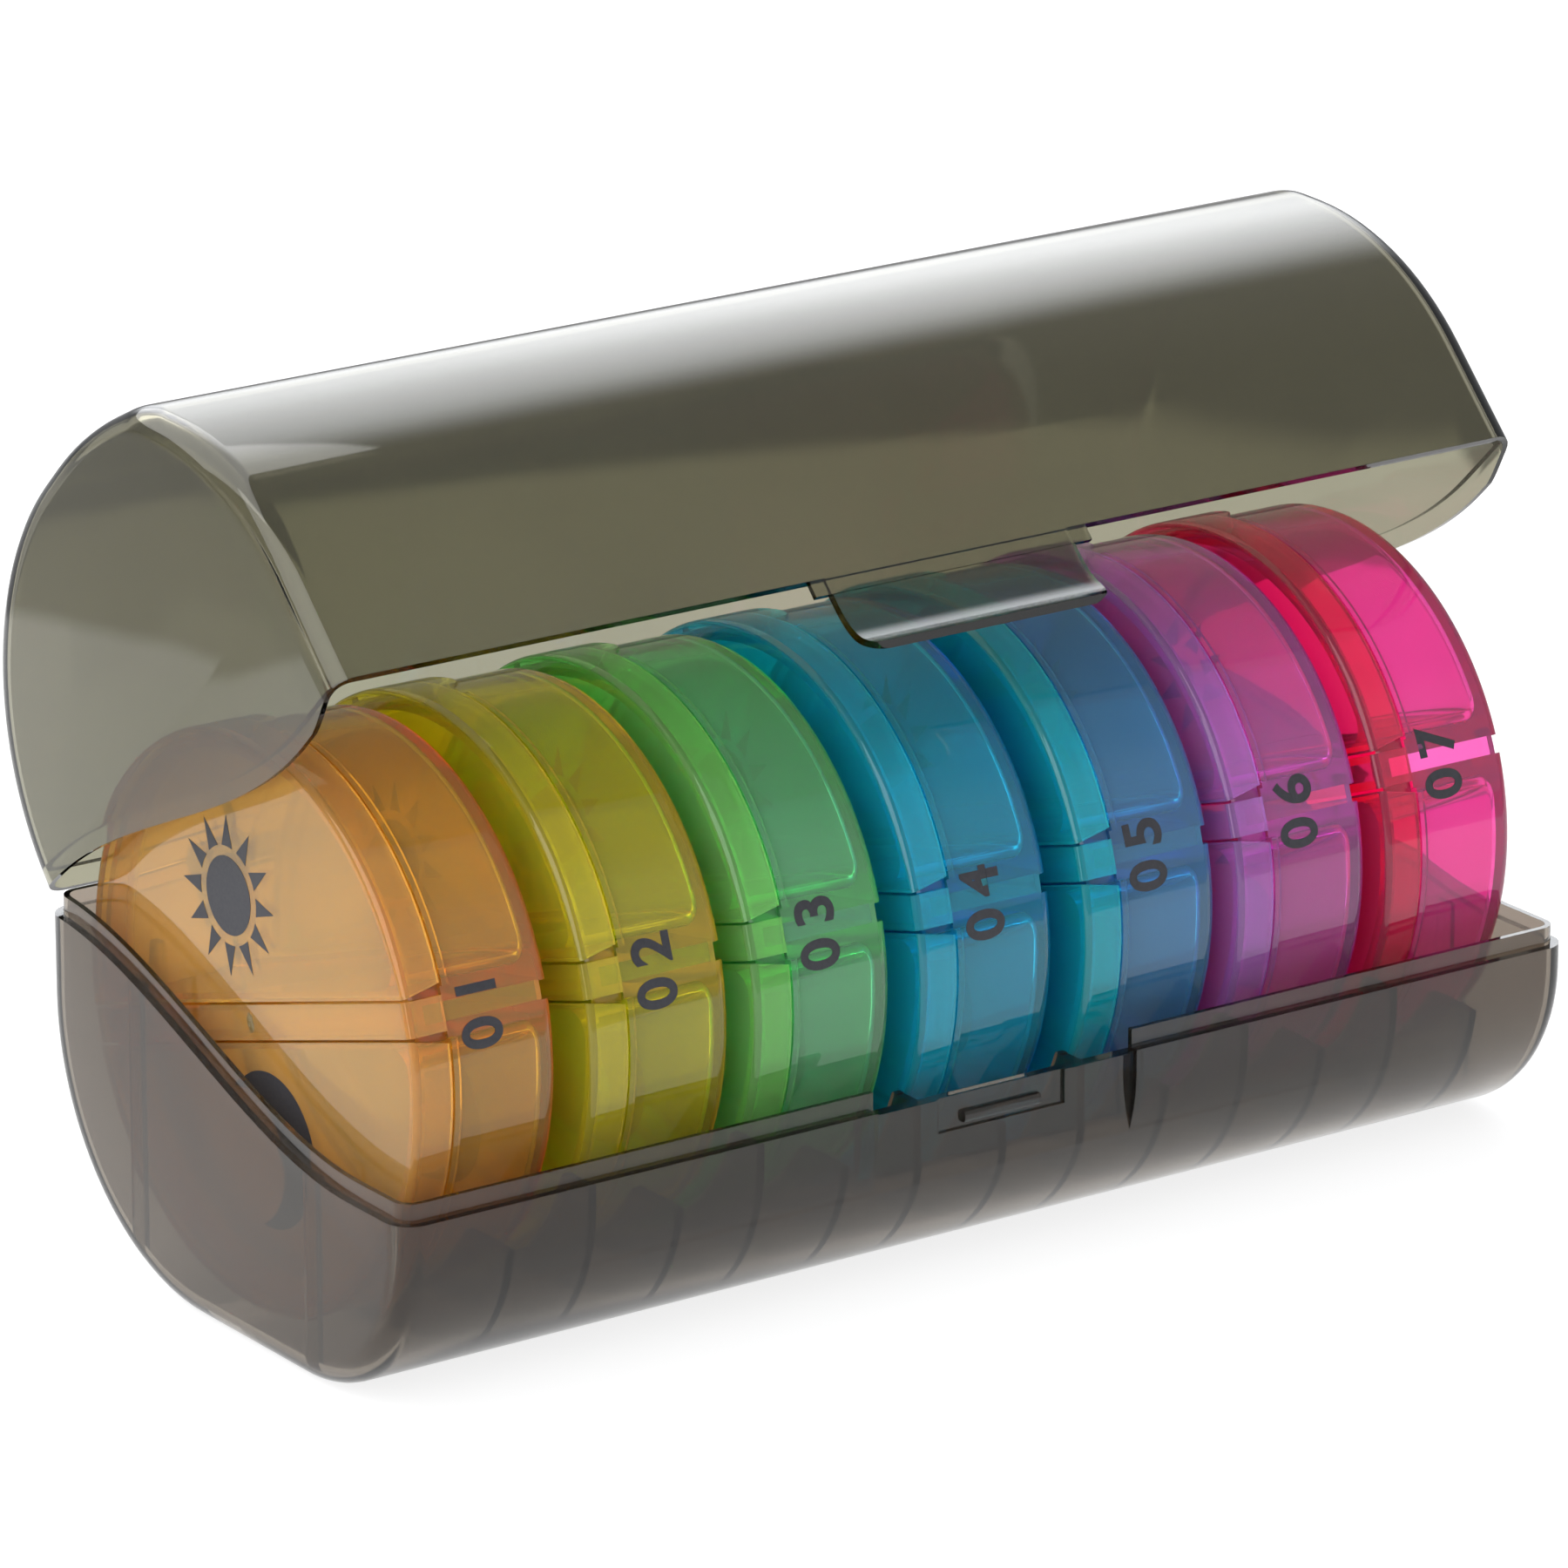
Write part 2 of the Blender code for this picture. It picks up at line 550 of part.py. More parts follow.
def build_cup(day, centre, material):
    """Two half-round compartments, side by side with a slot between that opens at the back."""
    steps = round(2 * HALF_TURN / ARC_STEP)
    cup = add_object(f"{day}_cup", turned_mesh(f"{day}_cup", cup_profile(), steps), material, centre)
    floor = BOX_THICKNESS - CUP_FLOOR
    chord = SLOT_WIDTH / 2 + DIVIDER_WALL
    inner = CUP_COLLAR_RADIUS - CUP_WALL
    for side, label in ((1, "am"), (-1, "pm")):
        outline = half_round_outline(inner, chord, side)
        name = f"{day}_{label}_pocket"
        cut_with(cup, add_object(name, prism_mesh(name, outline, 0, floor), parent=centre))
    slot_end = CUP_FRONT + SLOT_FLOOR
    slot = block_mesh(f"{day}_slot", (slot_end, -inner, -SLOT_WIDTH / 2),
                      (BOX_THICKNESS + OVERRUN, inner, SLOT_WIDTH / 2))
    cut_with(cup, add_object(f"{day}_slot", slot, parent=centre))
    start = math.asin((BAR_WIDTH / 2 + BEAD_MARGIN) / CUP_RADIUS)
    end = math.acos((THUMB_TAB_WIDTH / 2 + BEAD_MARGIN) / CUP_RADIUS)
    for side in (-1, 1):
        for turn in (0, HALF_TURN):
            angles = [turn + side * start, turn + side * end]
            outline = arc((0, 0), CUP_RADIUS + BEAD_HEIGHT, *angles)
            outline += arc((0, 0), CUP_RADIUS - CUP_WALL / 2, *angles[::-1])
            name = f"{day}_bead_{side}_{turn > 0}"
            bead = prism_mesh(name, outline, BEAD_FROM, BEAD_FROM + BEAD_WIDTH)
            cut_with(cup, add_object(name, bead, parent=centre), "UNION")
        ys = sorted((side * (inner - RUNNING_GAP), side * (CUP_RADIUS + OVERRUN)))
        edge_notch = block_mesh(f"{day}_edge_notch", (BOX_THICKNESS - CUP_EDGE / 2, ys[0], -SLOT_WIDTH / 2),
                                (BOX_THICKNESS + OVERRUN, ys[1], SLOT_WIDTH / 2))
        cut_with(cup, add_object(f"{day}_edge_notch_{side}", edge_notch, parent=centre))
    return cup


def build_bar(day, centre, material):
    """The strip between the caps, with both ends bent back over the rim like a staple."""
    outer = CAP_RADIUS - RUNNING_GAP
    inner = outer - BAR_END_WALL
    half = BAR_WIDTH / 2
    work = bmesh.new()
    outline = [(0, -outer), (0, outer), (SKIRT_DEPTH, outer), (SKIRT_DEPTH, inner), (CAP_PLATE, inner),
               (CAP_PLATE, -inner), (SKIRT_DEPTH, -inner), (SKIRT_DEPTH, -outer)]
    low = [work.verts.new((x, y, -half)) for x, y in outline]
    high = [work.verts.new((x, y, half)) for x, y in outline]
    work.faces.new(low)
    work.faces.new(high[::-1])
    for i in range(len(outline)):
        k = (i + 1) % len(outline)
        work.faces.new((low[i], high[i], high[k], low[k]))
    return add_object(f"{day}_cap_bar", finish_mesh(f"{day}_cap_bar", work), material, centre)


def cap_row(angle, end):
    """Section of a cap at one angle round its arc, as (x, radius) points, or cut square at an end."""
    tab_half = THUMB_TAB_WIDTH / 2
    y = CAP_RADIUS * math.cos(angle)
    reach = max(0, min(1, (tab_half - abs(y)) / THUMB_TAB_CORNER)) * THUMB_TAB_REACH
    inner = CAP_RADIUS - SKIRT_WALL
    points = [(0, CAP_RADIUS - CAP_EDGE), (CAP_EDGE, CAP_RADIUS), (SKIRT_DEPTH + reach, CAP_RADIUS)]
    if abs(y) <= tab_half + RUNNING_GAP / 2:
        points += [(SKIRT_DEPTH + reach, CUP_RADIUS + RUNNING_GAP), (SKIRT_DEPTH, CUP_RADIUS + RUNNING_GAP)]
    else:
        points += [points[-1], points[-1]]
    points += [(SKIRT_DEPTH, inner), (CAP_PLATE, inner)]
    if not end:
        return [(x, r * math.cos(angle), r * math.sin(angle)) for x, r in points]
    row = []
    for x, r in points:
        z = BAR_WIDTH / 2 + RUNNING_GAP + SKIRT_END_SLANT * x / SKIRT_DEPTH
        row.append((x, math.copysign(math.sqrt(r * r - z * z), math.cos(angle)), z))
    return row


def build_cap(day, label, side, centre, material):
    """A half-round cap with a skirt round its arc, turning about the outer edge of the bar."""
    name = f"{day}_{label}_lid"
    tab_angles = [math.acos((THUMB_TAB_WIDTH / 2 - step) / CAP_RADIUS) for step in (0, THUMB_TAB_CORNER)]
    angles = [k * ARC_STEP for k in range(round(HALF_TURN / ARC_STEP) + 1)]
    angles += tab_angles + [HALF_TURN - a for a in tab_angles]
    pivot = side * CAP_HINGE
    work = bmesh.new()
    rows = []
    for angle in sorted(angles):
        end = min(angle, HALF_TURN - angle) < ARC_STEP / 2
        made = {}
        for x, y, z in cap_row(angle, end):
            if (x, y, z) not in made:
                made[(x, y, z)] = work.verts.new((x, y * side, z * side - pivot))
        rows.append([made[point] for point in cap_row(angle, end)])
    for row, after in zip(rows, rows[1:]):
        for k in range(len(row) - 1):
            corners = dict.fromkeys((row[k], row[k + 1], after[k + 1], after[k]))
            if len(corners) > 2:
                work.faces.new(corners)
    work.faces.new([row[0] for row in rows])
    work.faces.new([row[-1] for row in rows])
    work.faces.new(dict.fromkeys(rows[0] + rows[-1][::-1]))
    cap = add_object(name, finish_mesh(name, work), material, centre, (0, 0, pivot))
    return cap


def build_day(index, day, place):
    """One day box on an empty at the middle of its cap face, rolled in its cradle."""
    colour = DAY_COLOURS[index]
    tint = plastic(f"{day}_plastic", colour, 0.12)
    centre = bpy.data.objects.new(f"{day}_centre", None)
    bpy.context.collection.objects.link(centre)
    centre.location = (place, 0, BOX_AXIS_HEIGHT)
    centre.rotation_euler.x = -math.radians(DAY_ROLLS[index])
    build_cup(day, centre, tint)
    build_bar(day, centre, tint)
    build_cap(day, "am", 1, centre, tint)
    build_cap(day, "pm", -1, centre, tint)


def main():
    clear_scene()
    smoke = plastic("smoke_plastic", (0.16, 0.16, 0.13, 1), 0.1)
    build_base(smoke)
    build_lid(smoke)
    for index, (day, place) in enumerate(zip(DAYS, box_places())):
        build_day(index, day, place)


main()
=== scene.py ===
"""Looks of the travel pill organizer: clear tinted day boxes in a smoke-grey case, on a pale floor."""

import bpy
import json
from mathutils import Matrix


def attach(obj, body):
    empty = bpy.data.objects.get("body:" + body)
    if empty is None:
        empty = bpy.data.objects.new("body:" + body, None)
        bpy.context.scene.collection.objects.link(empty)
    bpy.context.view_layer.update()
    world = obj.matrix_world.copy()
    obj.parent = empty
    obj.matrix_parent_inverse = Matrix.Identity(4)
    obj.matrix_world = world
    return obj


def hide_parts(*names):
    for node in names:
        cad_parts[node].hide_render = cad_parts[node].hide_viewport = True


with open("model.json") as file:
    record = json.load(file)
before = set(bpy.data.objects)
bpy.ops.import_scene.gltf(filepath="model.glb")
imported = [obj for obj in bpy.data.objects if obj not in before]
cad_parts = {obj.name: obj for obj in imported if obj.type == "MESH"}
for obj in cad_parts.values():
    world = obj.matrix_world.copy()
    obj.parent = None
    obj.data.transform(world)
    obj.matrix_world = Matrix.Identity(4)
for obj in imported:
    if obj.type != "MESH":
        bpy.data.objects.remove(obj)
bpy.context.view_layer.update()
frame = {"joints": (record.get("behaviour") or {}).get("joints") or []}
import json
import math

import bmesh
import bpy
from mathutils import Matrix, Vector, noise

MM = 0.001
HALF_TURN = math.pi
FINE_STEP = math.radians(3)
SMOOTH_ANGLE = math.radians(28)
GAP = 0.3 * MM
OVERRUN = 4.0 * MM

# Day boxes: the frame's solids, with the photo's deeper cup and skirt and sharper cup edge
DAYS = ("mon", "tue", "wed", "thu", "fri", "sat", "sun")
DAY_PITCH = 21.1 * MM
BOX_THICKNESS = 17.5 * MM
BOX_AXIS_HEIGHT = 34.0 * MM
CAP_RADIUS = 31.5 * MM
CAP_PLATE = 1.2 * MM
CAP_EDGE = 0.7 * MM
CAP_FIRST_STEP = math.radians(6)
SKIRT_DEPTH = 4.7 * MM
SKIRT_WALL = 1.0 * MM
SKIRT_END_SLANT = 1.0 * MM
EDGE_BREAK = 0.12 * MM
THUMB_TAB_WIDTH = 16.0 * MM
THUMB_TAB_REACH = 2.5 * MM
THUMB_TAB_RAMP = 3.4 * MM
BAR_WIDTH = 3.76 * MM
BAR_END_WALL = 0.8 * MM
CUP_RADIUS = 30.7 * MM
CUP_WALL = 1.2 * MM
CUP_FLOOR = 1.3 * MM
CUP_DEPTH = 18.3 * MM
CUP_EDGE = 1.7 * MM
BEAD_WIDTH = 0.8 * MM
BEAD_HEIGHT = 0.6 * MM
BEAD_MARGIN = 0.8 * MM
SLOT_WIDTH = 2.0 * MM
DIVIDER_WALL = 1.7 * MM
DIVIDER_DRAFT = 0.3 * MM
POCKET_CORNER = 2.6 * MM
POCKET_FILLET = 1.4 * MM
SLOT_FLOOR = 1.6 * MM
NOTCH_DEPTH = 1.5 * MM
BOX_STEPS = 144

# Case: the frame's solids, with the photo's rounder end edges and its drawn up lid edge
CASE_LENGTH = 153.4 * MM
CASE_HALF_DEPTH = 34.0 * MM
CASE_TOP = 70.4 * MM
FRONT_WALL_Y = -35.5 * MM
ROOF_END = -8.8 * MM
BROW_Y = -21.75 * MM
BROW_HEIGHT = 66.2 * MM
SHOULDER_HEIGHT = 51.8 * MM
FRONT_FOOT_RADIUS = 20.3 * MM
REAR_FOOT_RADIUS = 28.87 * MM
REAR_CROWN_RADIUS = 33.01 * MM
ROOF_RADIUS = 44.98 * MM
BROW_RADIUS = 12.0 * MM
SHOULDER_RADIUS = 35.99 * MM
END_EDGE = 3.0 * MM
CASE_WALL = 1.6 * MM
FRONT_RIM = 22.8 * MM
REAR_RIM = 37.7 * MM
RIM_CLIMB_FROM = -25.6 * MM
RIM_CLIMB_TO = 33.6 * MM
RIM_STEPS = 48
TONGUE_HEIGHT = 2.1 * MM
TONGUE_WALL = 0.65 * MM
RIB_WALL = 1.0 * MM
SEPARATOR_DROP = 0.6 * MM
CRADLE_DROP = 5.5 * MM
CRADLE_PLACE_SHARE = 0.54
END_RIB_WIDTH = 2.4 * MM
END_RIB_DEPTH = 0.6 * MM
END_RIB_PLACE_SHARE = 0.5
PANEL_WIDTH = 34.0 * MM
PANEL_SET_BACK = 1.2 * MM
PANEL_TOP_DROP = 0.7 * MM
PANEL_BOTTOM = 15.3 * MM
WINDOW_WIDTH = 16.6 * MM
WINDOW_HEIGHT = 3.8 * MM
WINDOW_DEPTH = 0.4 * MM
CATCH_WIDTH = 10.0 * MM
CATCH_HEIGHT = 1.3 * MM
CATCH_REACH = 0.3 * MM
FLAP_WIDTH = 31.4 * MM
FLAP_LENGTH = 8.0 * MM
FLAP_WALL = 0.95 * MM
FLAP_STEP = 0.15 * MM
FLAP_CURL = 2.6 * MM
FLAP_CORNER = 2.5 * MM
FLAP_STEPS = 14
EDGE_LIFT = 1.9 * MM
EDGE_BLEND = 9.0 * MM
EDGE_SHOULDER = 2.2 * MM
HINGE_Y = 35.7 * MM
HINGE_HEIGHT = 37.9 * MM
HINGE_PLACE = 48.0 * MM
EYE_RADIUS = 2.0 * MM
EYE_STEPS = 32
LUG_WIDTH = 7.0 * MM
EAR_WIDTH = 3.5 * MM
PIN_RADIUS = 1.0 * MM
LEAF_WALL = 1.6 * MM
LEAF_LENGTH = 6.5 * MM

# Print on the boxes
INK_THICKNESS = 0.04 * MM
ICON_PLACE = 13.5 * MM
SUN_DISC = 4.3 * MM
SUN_RAY_FROM = 5.4 * MM
SUN_RAY_TO = 8.8 * MM
SUN_RAYS = 12
SUN_RAY_SHARE = 0.72
MOON_RADIUS = 8.4 * MM
MOON_BITE_RADIUS = 7.4 * MM
MOON_BITE_SHIFT = 4.6 * MM
MOON_LEAN = math.radians(-6)
NUMBER_HEIGHT = 4.9 * MM
NUMBER_PLACE = 9.0 * MM
NUMBER_DROP = 0.6 * MM
NUMBER_SPACING = 1.4
NUMBER_BOLDNESS = 0.035
FIGURE_SHARE = 0.73
SCAR_RADIUS = 1.1 * MM
SCAR_HEIGHT = 0.12 * MM
SCAR_RINGS = 5
SCAR_STEPS = 24
SCAR_NARROWING = 0.6
SCAR_WOBBLE = 0.3
SCAR_BUMPS = 0.6

# Sizes that follow from those above
BOX_ROW = (len(DAYS) - 1) * DAY_PITCH + BOX_THICKNESS
CUP_FRONT = CAP_PLATE + GAP
CUP_COLLAR_RADIUS = CAP_RADIUS - SKIRT_WALL - GAP
BEAD_FROM = SKIRT_DEPTH + GAP

# View and light: sizes in metres, angles in degrees, lens and sensor in millimetres, power in watts
CAMERA_PLACE = (-592.4 * MM, -836.4 * MM, 389.2 * MM)
CAMERA_AZIMUTH = -35.12
CAMERA_ELEVATION = 18.495
CAMERA_LENS = 229.93
CAMERA_SENSOR = 36
CAMERA_REACH = 50
FLOOR_SIZE = 6.0
FLOOR_LIFT = 0.82
SHEET_RADIUS = 0.300
SHEET_FADE = 0.012
PAST_SHEET_SHARE = 0.1
FLOOR_SHOWN = (0.3, 0.3, 0.3, 1)
FLOOR_LIT = (0.8, 0.8, 0.8, 1)
WORLD_LEVEL = 0.42
WORLD_COLOUR = (0.95, 0.97, 1, 1)
WHITE = (1, 1, 1, 1)
SOFTBOX_WIDTH = 1.2
SOFTBOX_HEIGHT = 1.1
SOFTBOX_DISTANCE = 0.95
SOFTBOX_POWER = 10

# Azimuth to the right of the front and elevation, then spread and strength of a spot
WORLD_SPOTS = ((150, 31, 33, 3.6), (35, 12, 40, 0.35))
SOFTBOXES = (("left_softbox", -65, 35), ("rear_softbox", -160, 50))

# Looks. A finish is a density, clearness, gloss, roughness, wave height and wave scale
NOISE_RANGE = (0.3, 0.7)
CLEAR_IOR = 1.5
TINT_SPREAD = 0.93
ROUGHNESS_SPREAD = (0.8, 1.25)
GRAIN_SCALE = 120
BOUNCES = 32
SMOKE = (0.40, 0.36, 0.28)
BASE_TINT = (0.37, 0.32, 0.27)
BASE_FINISH = (260, 0.99, 0.4, 0.08, 0.06 * MM, 30)
LID_TINT = (0.37, 0.36, 0.27)
LID_FINISH = (150, 1, 0.5, 0.04, 0.1 * MM, 30)
BOX_FINISH = (400, 0.86, 0.4, 0.03, 0.03 * MM, 60)
INK = (0.02, 0.02, 0.025)
INK_SPECKLE = 1.6
INK_SPECKLE_SCALE = 2500
INK_ROUGHNESS = (0.42, 0.6)

# Tint of each box's cup, of its caps and bar, and of light that goes a long way inside the plastic
TINTS = {
    "mon": ((1.00, 0.68, 0.16), (1.00, 0.70, 0.24), (1.00, 0.88, 0.00)),
    "tue": ((0.98, 0.91, 0.08), (0.98, 0.91, 0.08), (1.00, 0.98, 0.00)),
    "wed": ((0.46, 0.98, 0.60), (0.54, 0.99, 0.36), (0.40, 1.00, 0.70)),
    "thu": ((0.05, 0.80, 1.00), (0.03, 0.86, 1.00), (0.00, 0.90, 1.00)),
    "fri": ((0.26, 0.66, 1.00), (0.03, 0.92, 0.97), (0.00, 0.94, 1.00)),
    "sat": ((1.00, 0.36, 0.86), (0.86, 0.46, 1.00), (1.00, 0.55, 1.00)),
    "sun": ((1.00, 0.22, 0.66), (1.00, 0.10, 0.28), (1.00, 0.25, 0.70)),
}


# Mesh helpers

def add_object(name, data):
    item = bpy.data.objects.new(name, data)
    bpy.context.scene.collection.objects.link(item)
    return item


def finish_mesh(name, work):
    bmesh.ops.recalc_face_normals(work, faces=work.faces)
    data = bpy.data.meshes.new(name)
    work.to_mesh(data)
    work.free()
    return data


def loft_mesh(name, rings):
    """A closed solid through rings of equally many points, with a flat face on the first and last."""
    work = bmesh.new()
    rows = [[work.verts.new(point) for point in ring] for ring in rings]
    count = len(rows[0])
    for row, after in zip(rows, rows[1:]):
        for k in range(count):
            j = (k + 1) % count
            work.faces.new((row[k], row[j], after[j], after[k]))
    work.faces.new(rows[0])
    work.faces.new(rows[-1][::-1])
    return finish_mesh(name, work)


def prism(name, outline, low, high):
    return add_object(name, loft_mesh(name, [[(x, y, z) for y, z in outline] for x in (low, high)]))


def block(name, low, high):
    outline = [(low[1], low[2]), (high[1], low[2]), (high[1], high[2]), (low[1], high[2])]
    return prism(name, outline, low[0], high[0])


def turned(name, profile, steps):
    """A solid of revolution about X from (x, radius) points."""
    turn = [2 * HALF_TURN * k / steps for k in range(steps)]
    rings = [[(x, r * math.cos(a), r * math.sin(a)) for a in turn] for x, r in profile]
    return add_object(name, loft_mesh(name, rings))


def arc(centre, radius, start, end, steps=None):
    count = steps or max(2, round(abs(end - start) / FINE_STEP))
    angles = [start + (end - start) * k / count for k in range(count + 1)]
    return [(centre[0] + radius * math.cos(a), centre[1] + radius * math.sin(a)) for a in angles]


def combine(item, steps):
    """Joins and cuts item with other solids in turn, and removes them."""
    for tool, operation in steps:
        change = item.modifiers.new(tool.name, "BOOLEAN")
        change.operation = operation
        change.solver = "EXACT"
        change.object = tool
    bpy.context.view_layer.update()
    evaluated = item.evaluated_get(bpy.context.evaluated_depsgraph_get())
    data = bpy.data.meshes.new_from_object(evaluated)
    data.name = item.name
    item.modifiers.clear()
    item.data = data
    for tool in {tool for tool, _ in steps}:
        bpy.data.objects.remove(tool, do_unlink=True)
    return item


def smooth(item):
    item.data.shade_smooth()
    item.data.set_sharp_from_angle(angle=SMOOTH_ANGLE)
    return item


# Materials

def new_material(name):
    material = bpy.data.materials.new(name)
    material.use_nodes = True
    nodes = material.node_tree.nodes
    return material, nodes, material.node_tree.links, nodes["Principled BSDF"]


def surface_noise(nodes, links, scale, detail):
    place = nodes.new("ShaderNodeTexCoord")
    texture = nodes.new("ShaderNodeTexNoise")
    texture.inputs["Scale"].default_value = scale
    texture.inputs["Detail"].default_value = detail
    links.new(place.outputs["Object"], texture.inputs["Vector"])
    return texture.outputs["Fac"]


def ranged(nodes, links, value, low, high):
    """The range that noise mostly fills, brought to low and high."""
    scaled = nodes.new("ShaderNodeMapRange")
    scaled.inputs["From Min"].default_value = NOISE_RANGE[0]
    scaled.inputs["From Max"].default_value = NOISE_RANGE[1]
    scaled.inputs["To Min"].default_value = low
    scaled.inputs["To Max"].default_value = high
    links.new(value, scaled.inputs["Value"])
    return scaled.outputs["Result"]


def clear_plastic(name, tint, depth_tint, density, clearness, gloss, roughness, wave, wave_scale):
    """Moulded clear plastic: a tint that deepens along its walls, faint flow waves and soft gloss."""
    material, nodes, links, shader = new_material(name)
    flow = surface_noise(nodes, links, wave_scale, 1)
    grain = surface_noise(nodes, links, GRAIN_SCALE, 1)
    mix = nodes.new("ShaderNodeMix")
    mix.data_type = "RGBA"
    mix.inputs["A"].default_value = (*[c * TINT_SPREAD for c in tint], 1)
    mix.inputs["B"].default_value = (*tint, 1)
    links.new(ranged(nodes, links, flow, 0, 1), mix.inputs["Factor"])
    links.new(mix.outputs["Result"], shader.inputs["Base Color"])
    rough = ranged(nodes, links, grain, *[roughness * share for share in ROUGHNESS_SPREAD])
    links.new(rough, shader.inputs["Roughness"])
    bump = nodes.new("ShaderNodeBump")
    bump.inputs["Strength"].default_value = 1
    bump.inputs["Distance"].default_value = wave
    links.new(flow, bump.inputs["Height"])
    links.new(bump.outputs["Normal"], shader.inputs["Normal"])
    shader.inputs["Transmission Weight"].default_value = clearness
    shader.inputs["IOR"].default_value = CLEAR_IOR
    shader.inputs["Specular IOR Level"].default_value = gloss
    inside = nodes.new("ShaderNodeVolumeAbsorption")
    inside.inputs["Color"].default_value = (*depth_tint, 1)
    inside.inputs["Density"].default_value = density
    links.new(inside.outputs["Volume"], nodes["Material Output"].inputs["Volume"])
    return material


def ink(name, colour):
    material, nodes, links, shader = new_material(name)
    speckle = surface_noise(nodes, links, INK_SPECKLE_SCALE, 2)
    mix = nodes.new("ShaderNodeMix")
    mix.data_type = "RGBA"
    mix.inputs["A"].default_value = (*colour, 1)
    mix.inputs["B"].default_value = (*[c * INK_SPECKLE for c in colour], 1)
    links.new(ranged(nodes, links, speckle, 0, 1), mix.inputs["Factor"])
    links.new(mix.outputs["Result"], shader.inputs["Base Color"])
    links.new(ranged(nodes, links, speckle, *INK_ROUGHNESS), shader.inputs["Roughness"])
    return material


# Case outline and rim

def rounded_outline(corners, inset=0.0):
    """A convex outline from (y, z, radius, turn) corners given anticlockwise, moved inwards by inset."""
    points = [Vector(c[:2]) for c in corners]
    count = len(points)
    sides = []
    for i in range(count):
        along = (points[(i + 1) % count] - points[i]).normalized()
        inwards = Vector((-along.y, along.x))
        sides.append((points[i] + inwards * inset, along))
    outline = []
    for i in range(count):
        (start, before), (base, after) = sides[i - 1], sides[i]
        turn = before.x * after.y - before.y * after.x
        reach = ((base.x - start.x) * after.y - (base.y - start.y) * after.x) / turn
        corner = start + before * reach
        radius = corners[i][2] - inset
        bend = math.acos(max(-1, min(1, before.dot(after))))
        first = corner - before * radius * math.tan(bend / 2)
        centre = first + Vector((-before.y, before.x)) * radius
        angle = math.atan2(first.y - centre.y, first.x - centre.x)
        steps = max(2, round(corners[i][3] / math.degrees(FINE_STEP)))
        outline += arc(centre, radius, angle, angle + bend, steps)
    return outline


def case_outline(inset=0.0):
    """The shut case seen along the row. A corner's turn, in degrees, only sets its number of points."""
    return rounded_outline([
        (CASE_HALF_DEPTH, 0, REAR_FOOT_RADIUS, 90),
        (CASE_HALF_DEPTH, CASE_TOP, REAR_CROWN_RADIUS, 90),
        (ROOF_END, CASE_TOP, ROOF_RADIUS, 18),
        (BROW_Y, BROW_HEIGHT, BROW_RADIUS, 27),
        (FRONT_WALL_Y, SHOULDER_HEIGHT, SHOULDER_RADIUS, 45),
        (FRONT_WALL_Y, 0, FRONT_FOOT_RADIUS, 90),
    ], inset)


def case_solid(name, inset):
    """The whole outside of the shut case, moved inwards by inset, with rounded end edges."""
    half = CASE_LENGTH / 2 - inset
    edge = max(END_EDGE - inset, GAP)
    steps = 6
    rings = []
    for side in (-1, 1):
        turns = [HALF_TURN / 2 * k / steps for k in range(steps + 1)]
        bends = [(edge * (1 - math.sin(a)), edge * (1 - math.cos(a))) for a in turns]
        if side > 0:
            bends.reverse()
        for draw_in, back in bends:
            outline = case_outline(inset + draw_in)
            rings.append([(side * (half - back), y, z) for y, z in outline])
    return add_object(name, loft_mesh(name, rings))


def rim_height(y):
    share = max(0, min(1, (y - RIM_CLIMB_FROM) / (RIM_CLIMB_TO - RIM_CLIMB_FROM)))
    return FRONT_RIM + (REAR_RIM - FRONT_RIM) * share * share * (3 - 2 * share)


def above_rim(name, lift):
    """All the room above the rim's curve, moved up by lift."""
    front = FRONT_WALL_Y - OVERRUN
    rear = CASE_HALF_DEPTH + OVERRUN
    span = RIM_CLIMB_TO - RIM_CLIMB_FROM
    ys = [front] + [RIM_CLIMB_FROM + span * k / RIM_STEPS for k in range(RIM_STEPS + 1)] + [rear]
    outline = [(y, rim_height(y) + lift) for y in ys]
    outline += [(rear, CASE_TOP + OVERRUN), (front, CASE_TOP + OVERRUN)]
    half = CASE_LENGTH / 2 + OVERRUN
    return prism(name, outline, -half, half)


def box_places():
    """X of each day box's cap face and the box's roll, read from its joint in the frame."""
    places = {}
    for joint in frame["joints"]:
        if joint["name"].endswith("_am_hinge"):
            day = joint["name"][:3]
            roll = math.atan2(joint["axis"][2], -joint["axis"][1])
            places[day] = (joint["pos_m"][0], roll)
    return places


# Case base

def rib(name, x, inner_radius, drop):
    """A U-shaped rib across the base, round the box axis, ending a little under the rim."""
    front_top = FRONT_RIM - drop
    rear_top = REAR_RIM - drop
    front_end = FRONT_WALL_Y + CASE_WALL / 2
    rear_end = CASE_HALF_DEPTH - CASE_WALL / 2
    front = HALF_TURN + math.asin((BOX_AXIS_HEIGHT - front_top) / inner_radius)
    rear = 2 * HALF_TURN + math.asin(min(1, (rear_top - BOX_AXIS_HEIGHT) / inner_radius))
    inside = arc((0, BOX_AXIS_HEIGHT), inner_radius, front, rear)
    below = case_outline(CASE_WALL / 2)
    front_side = sorted([p for p in below if p[1] < front_top and p[0] < 0], key=lambda p: -p[1])
    rear_side = sorted([p for p in below if p[0] > 0 and p[1] < rear_top], key=lambda p: p[1])
    shell = [(front_end, front_top)] + front_side + rear_side + [(rear_end, rear_top)]
    return prism(name, shell + inside[::-1], x - RIB_WALL / 2, x + RIB_WALL / 2)


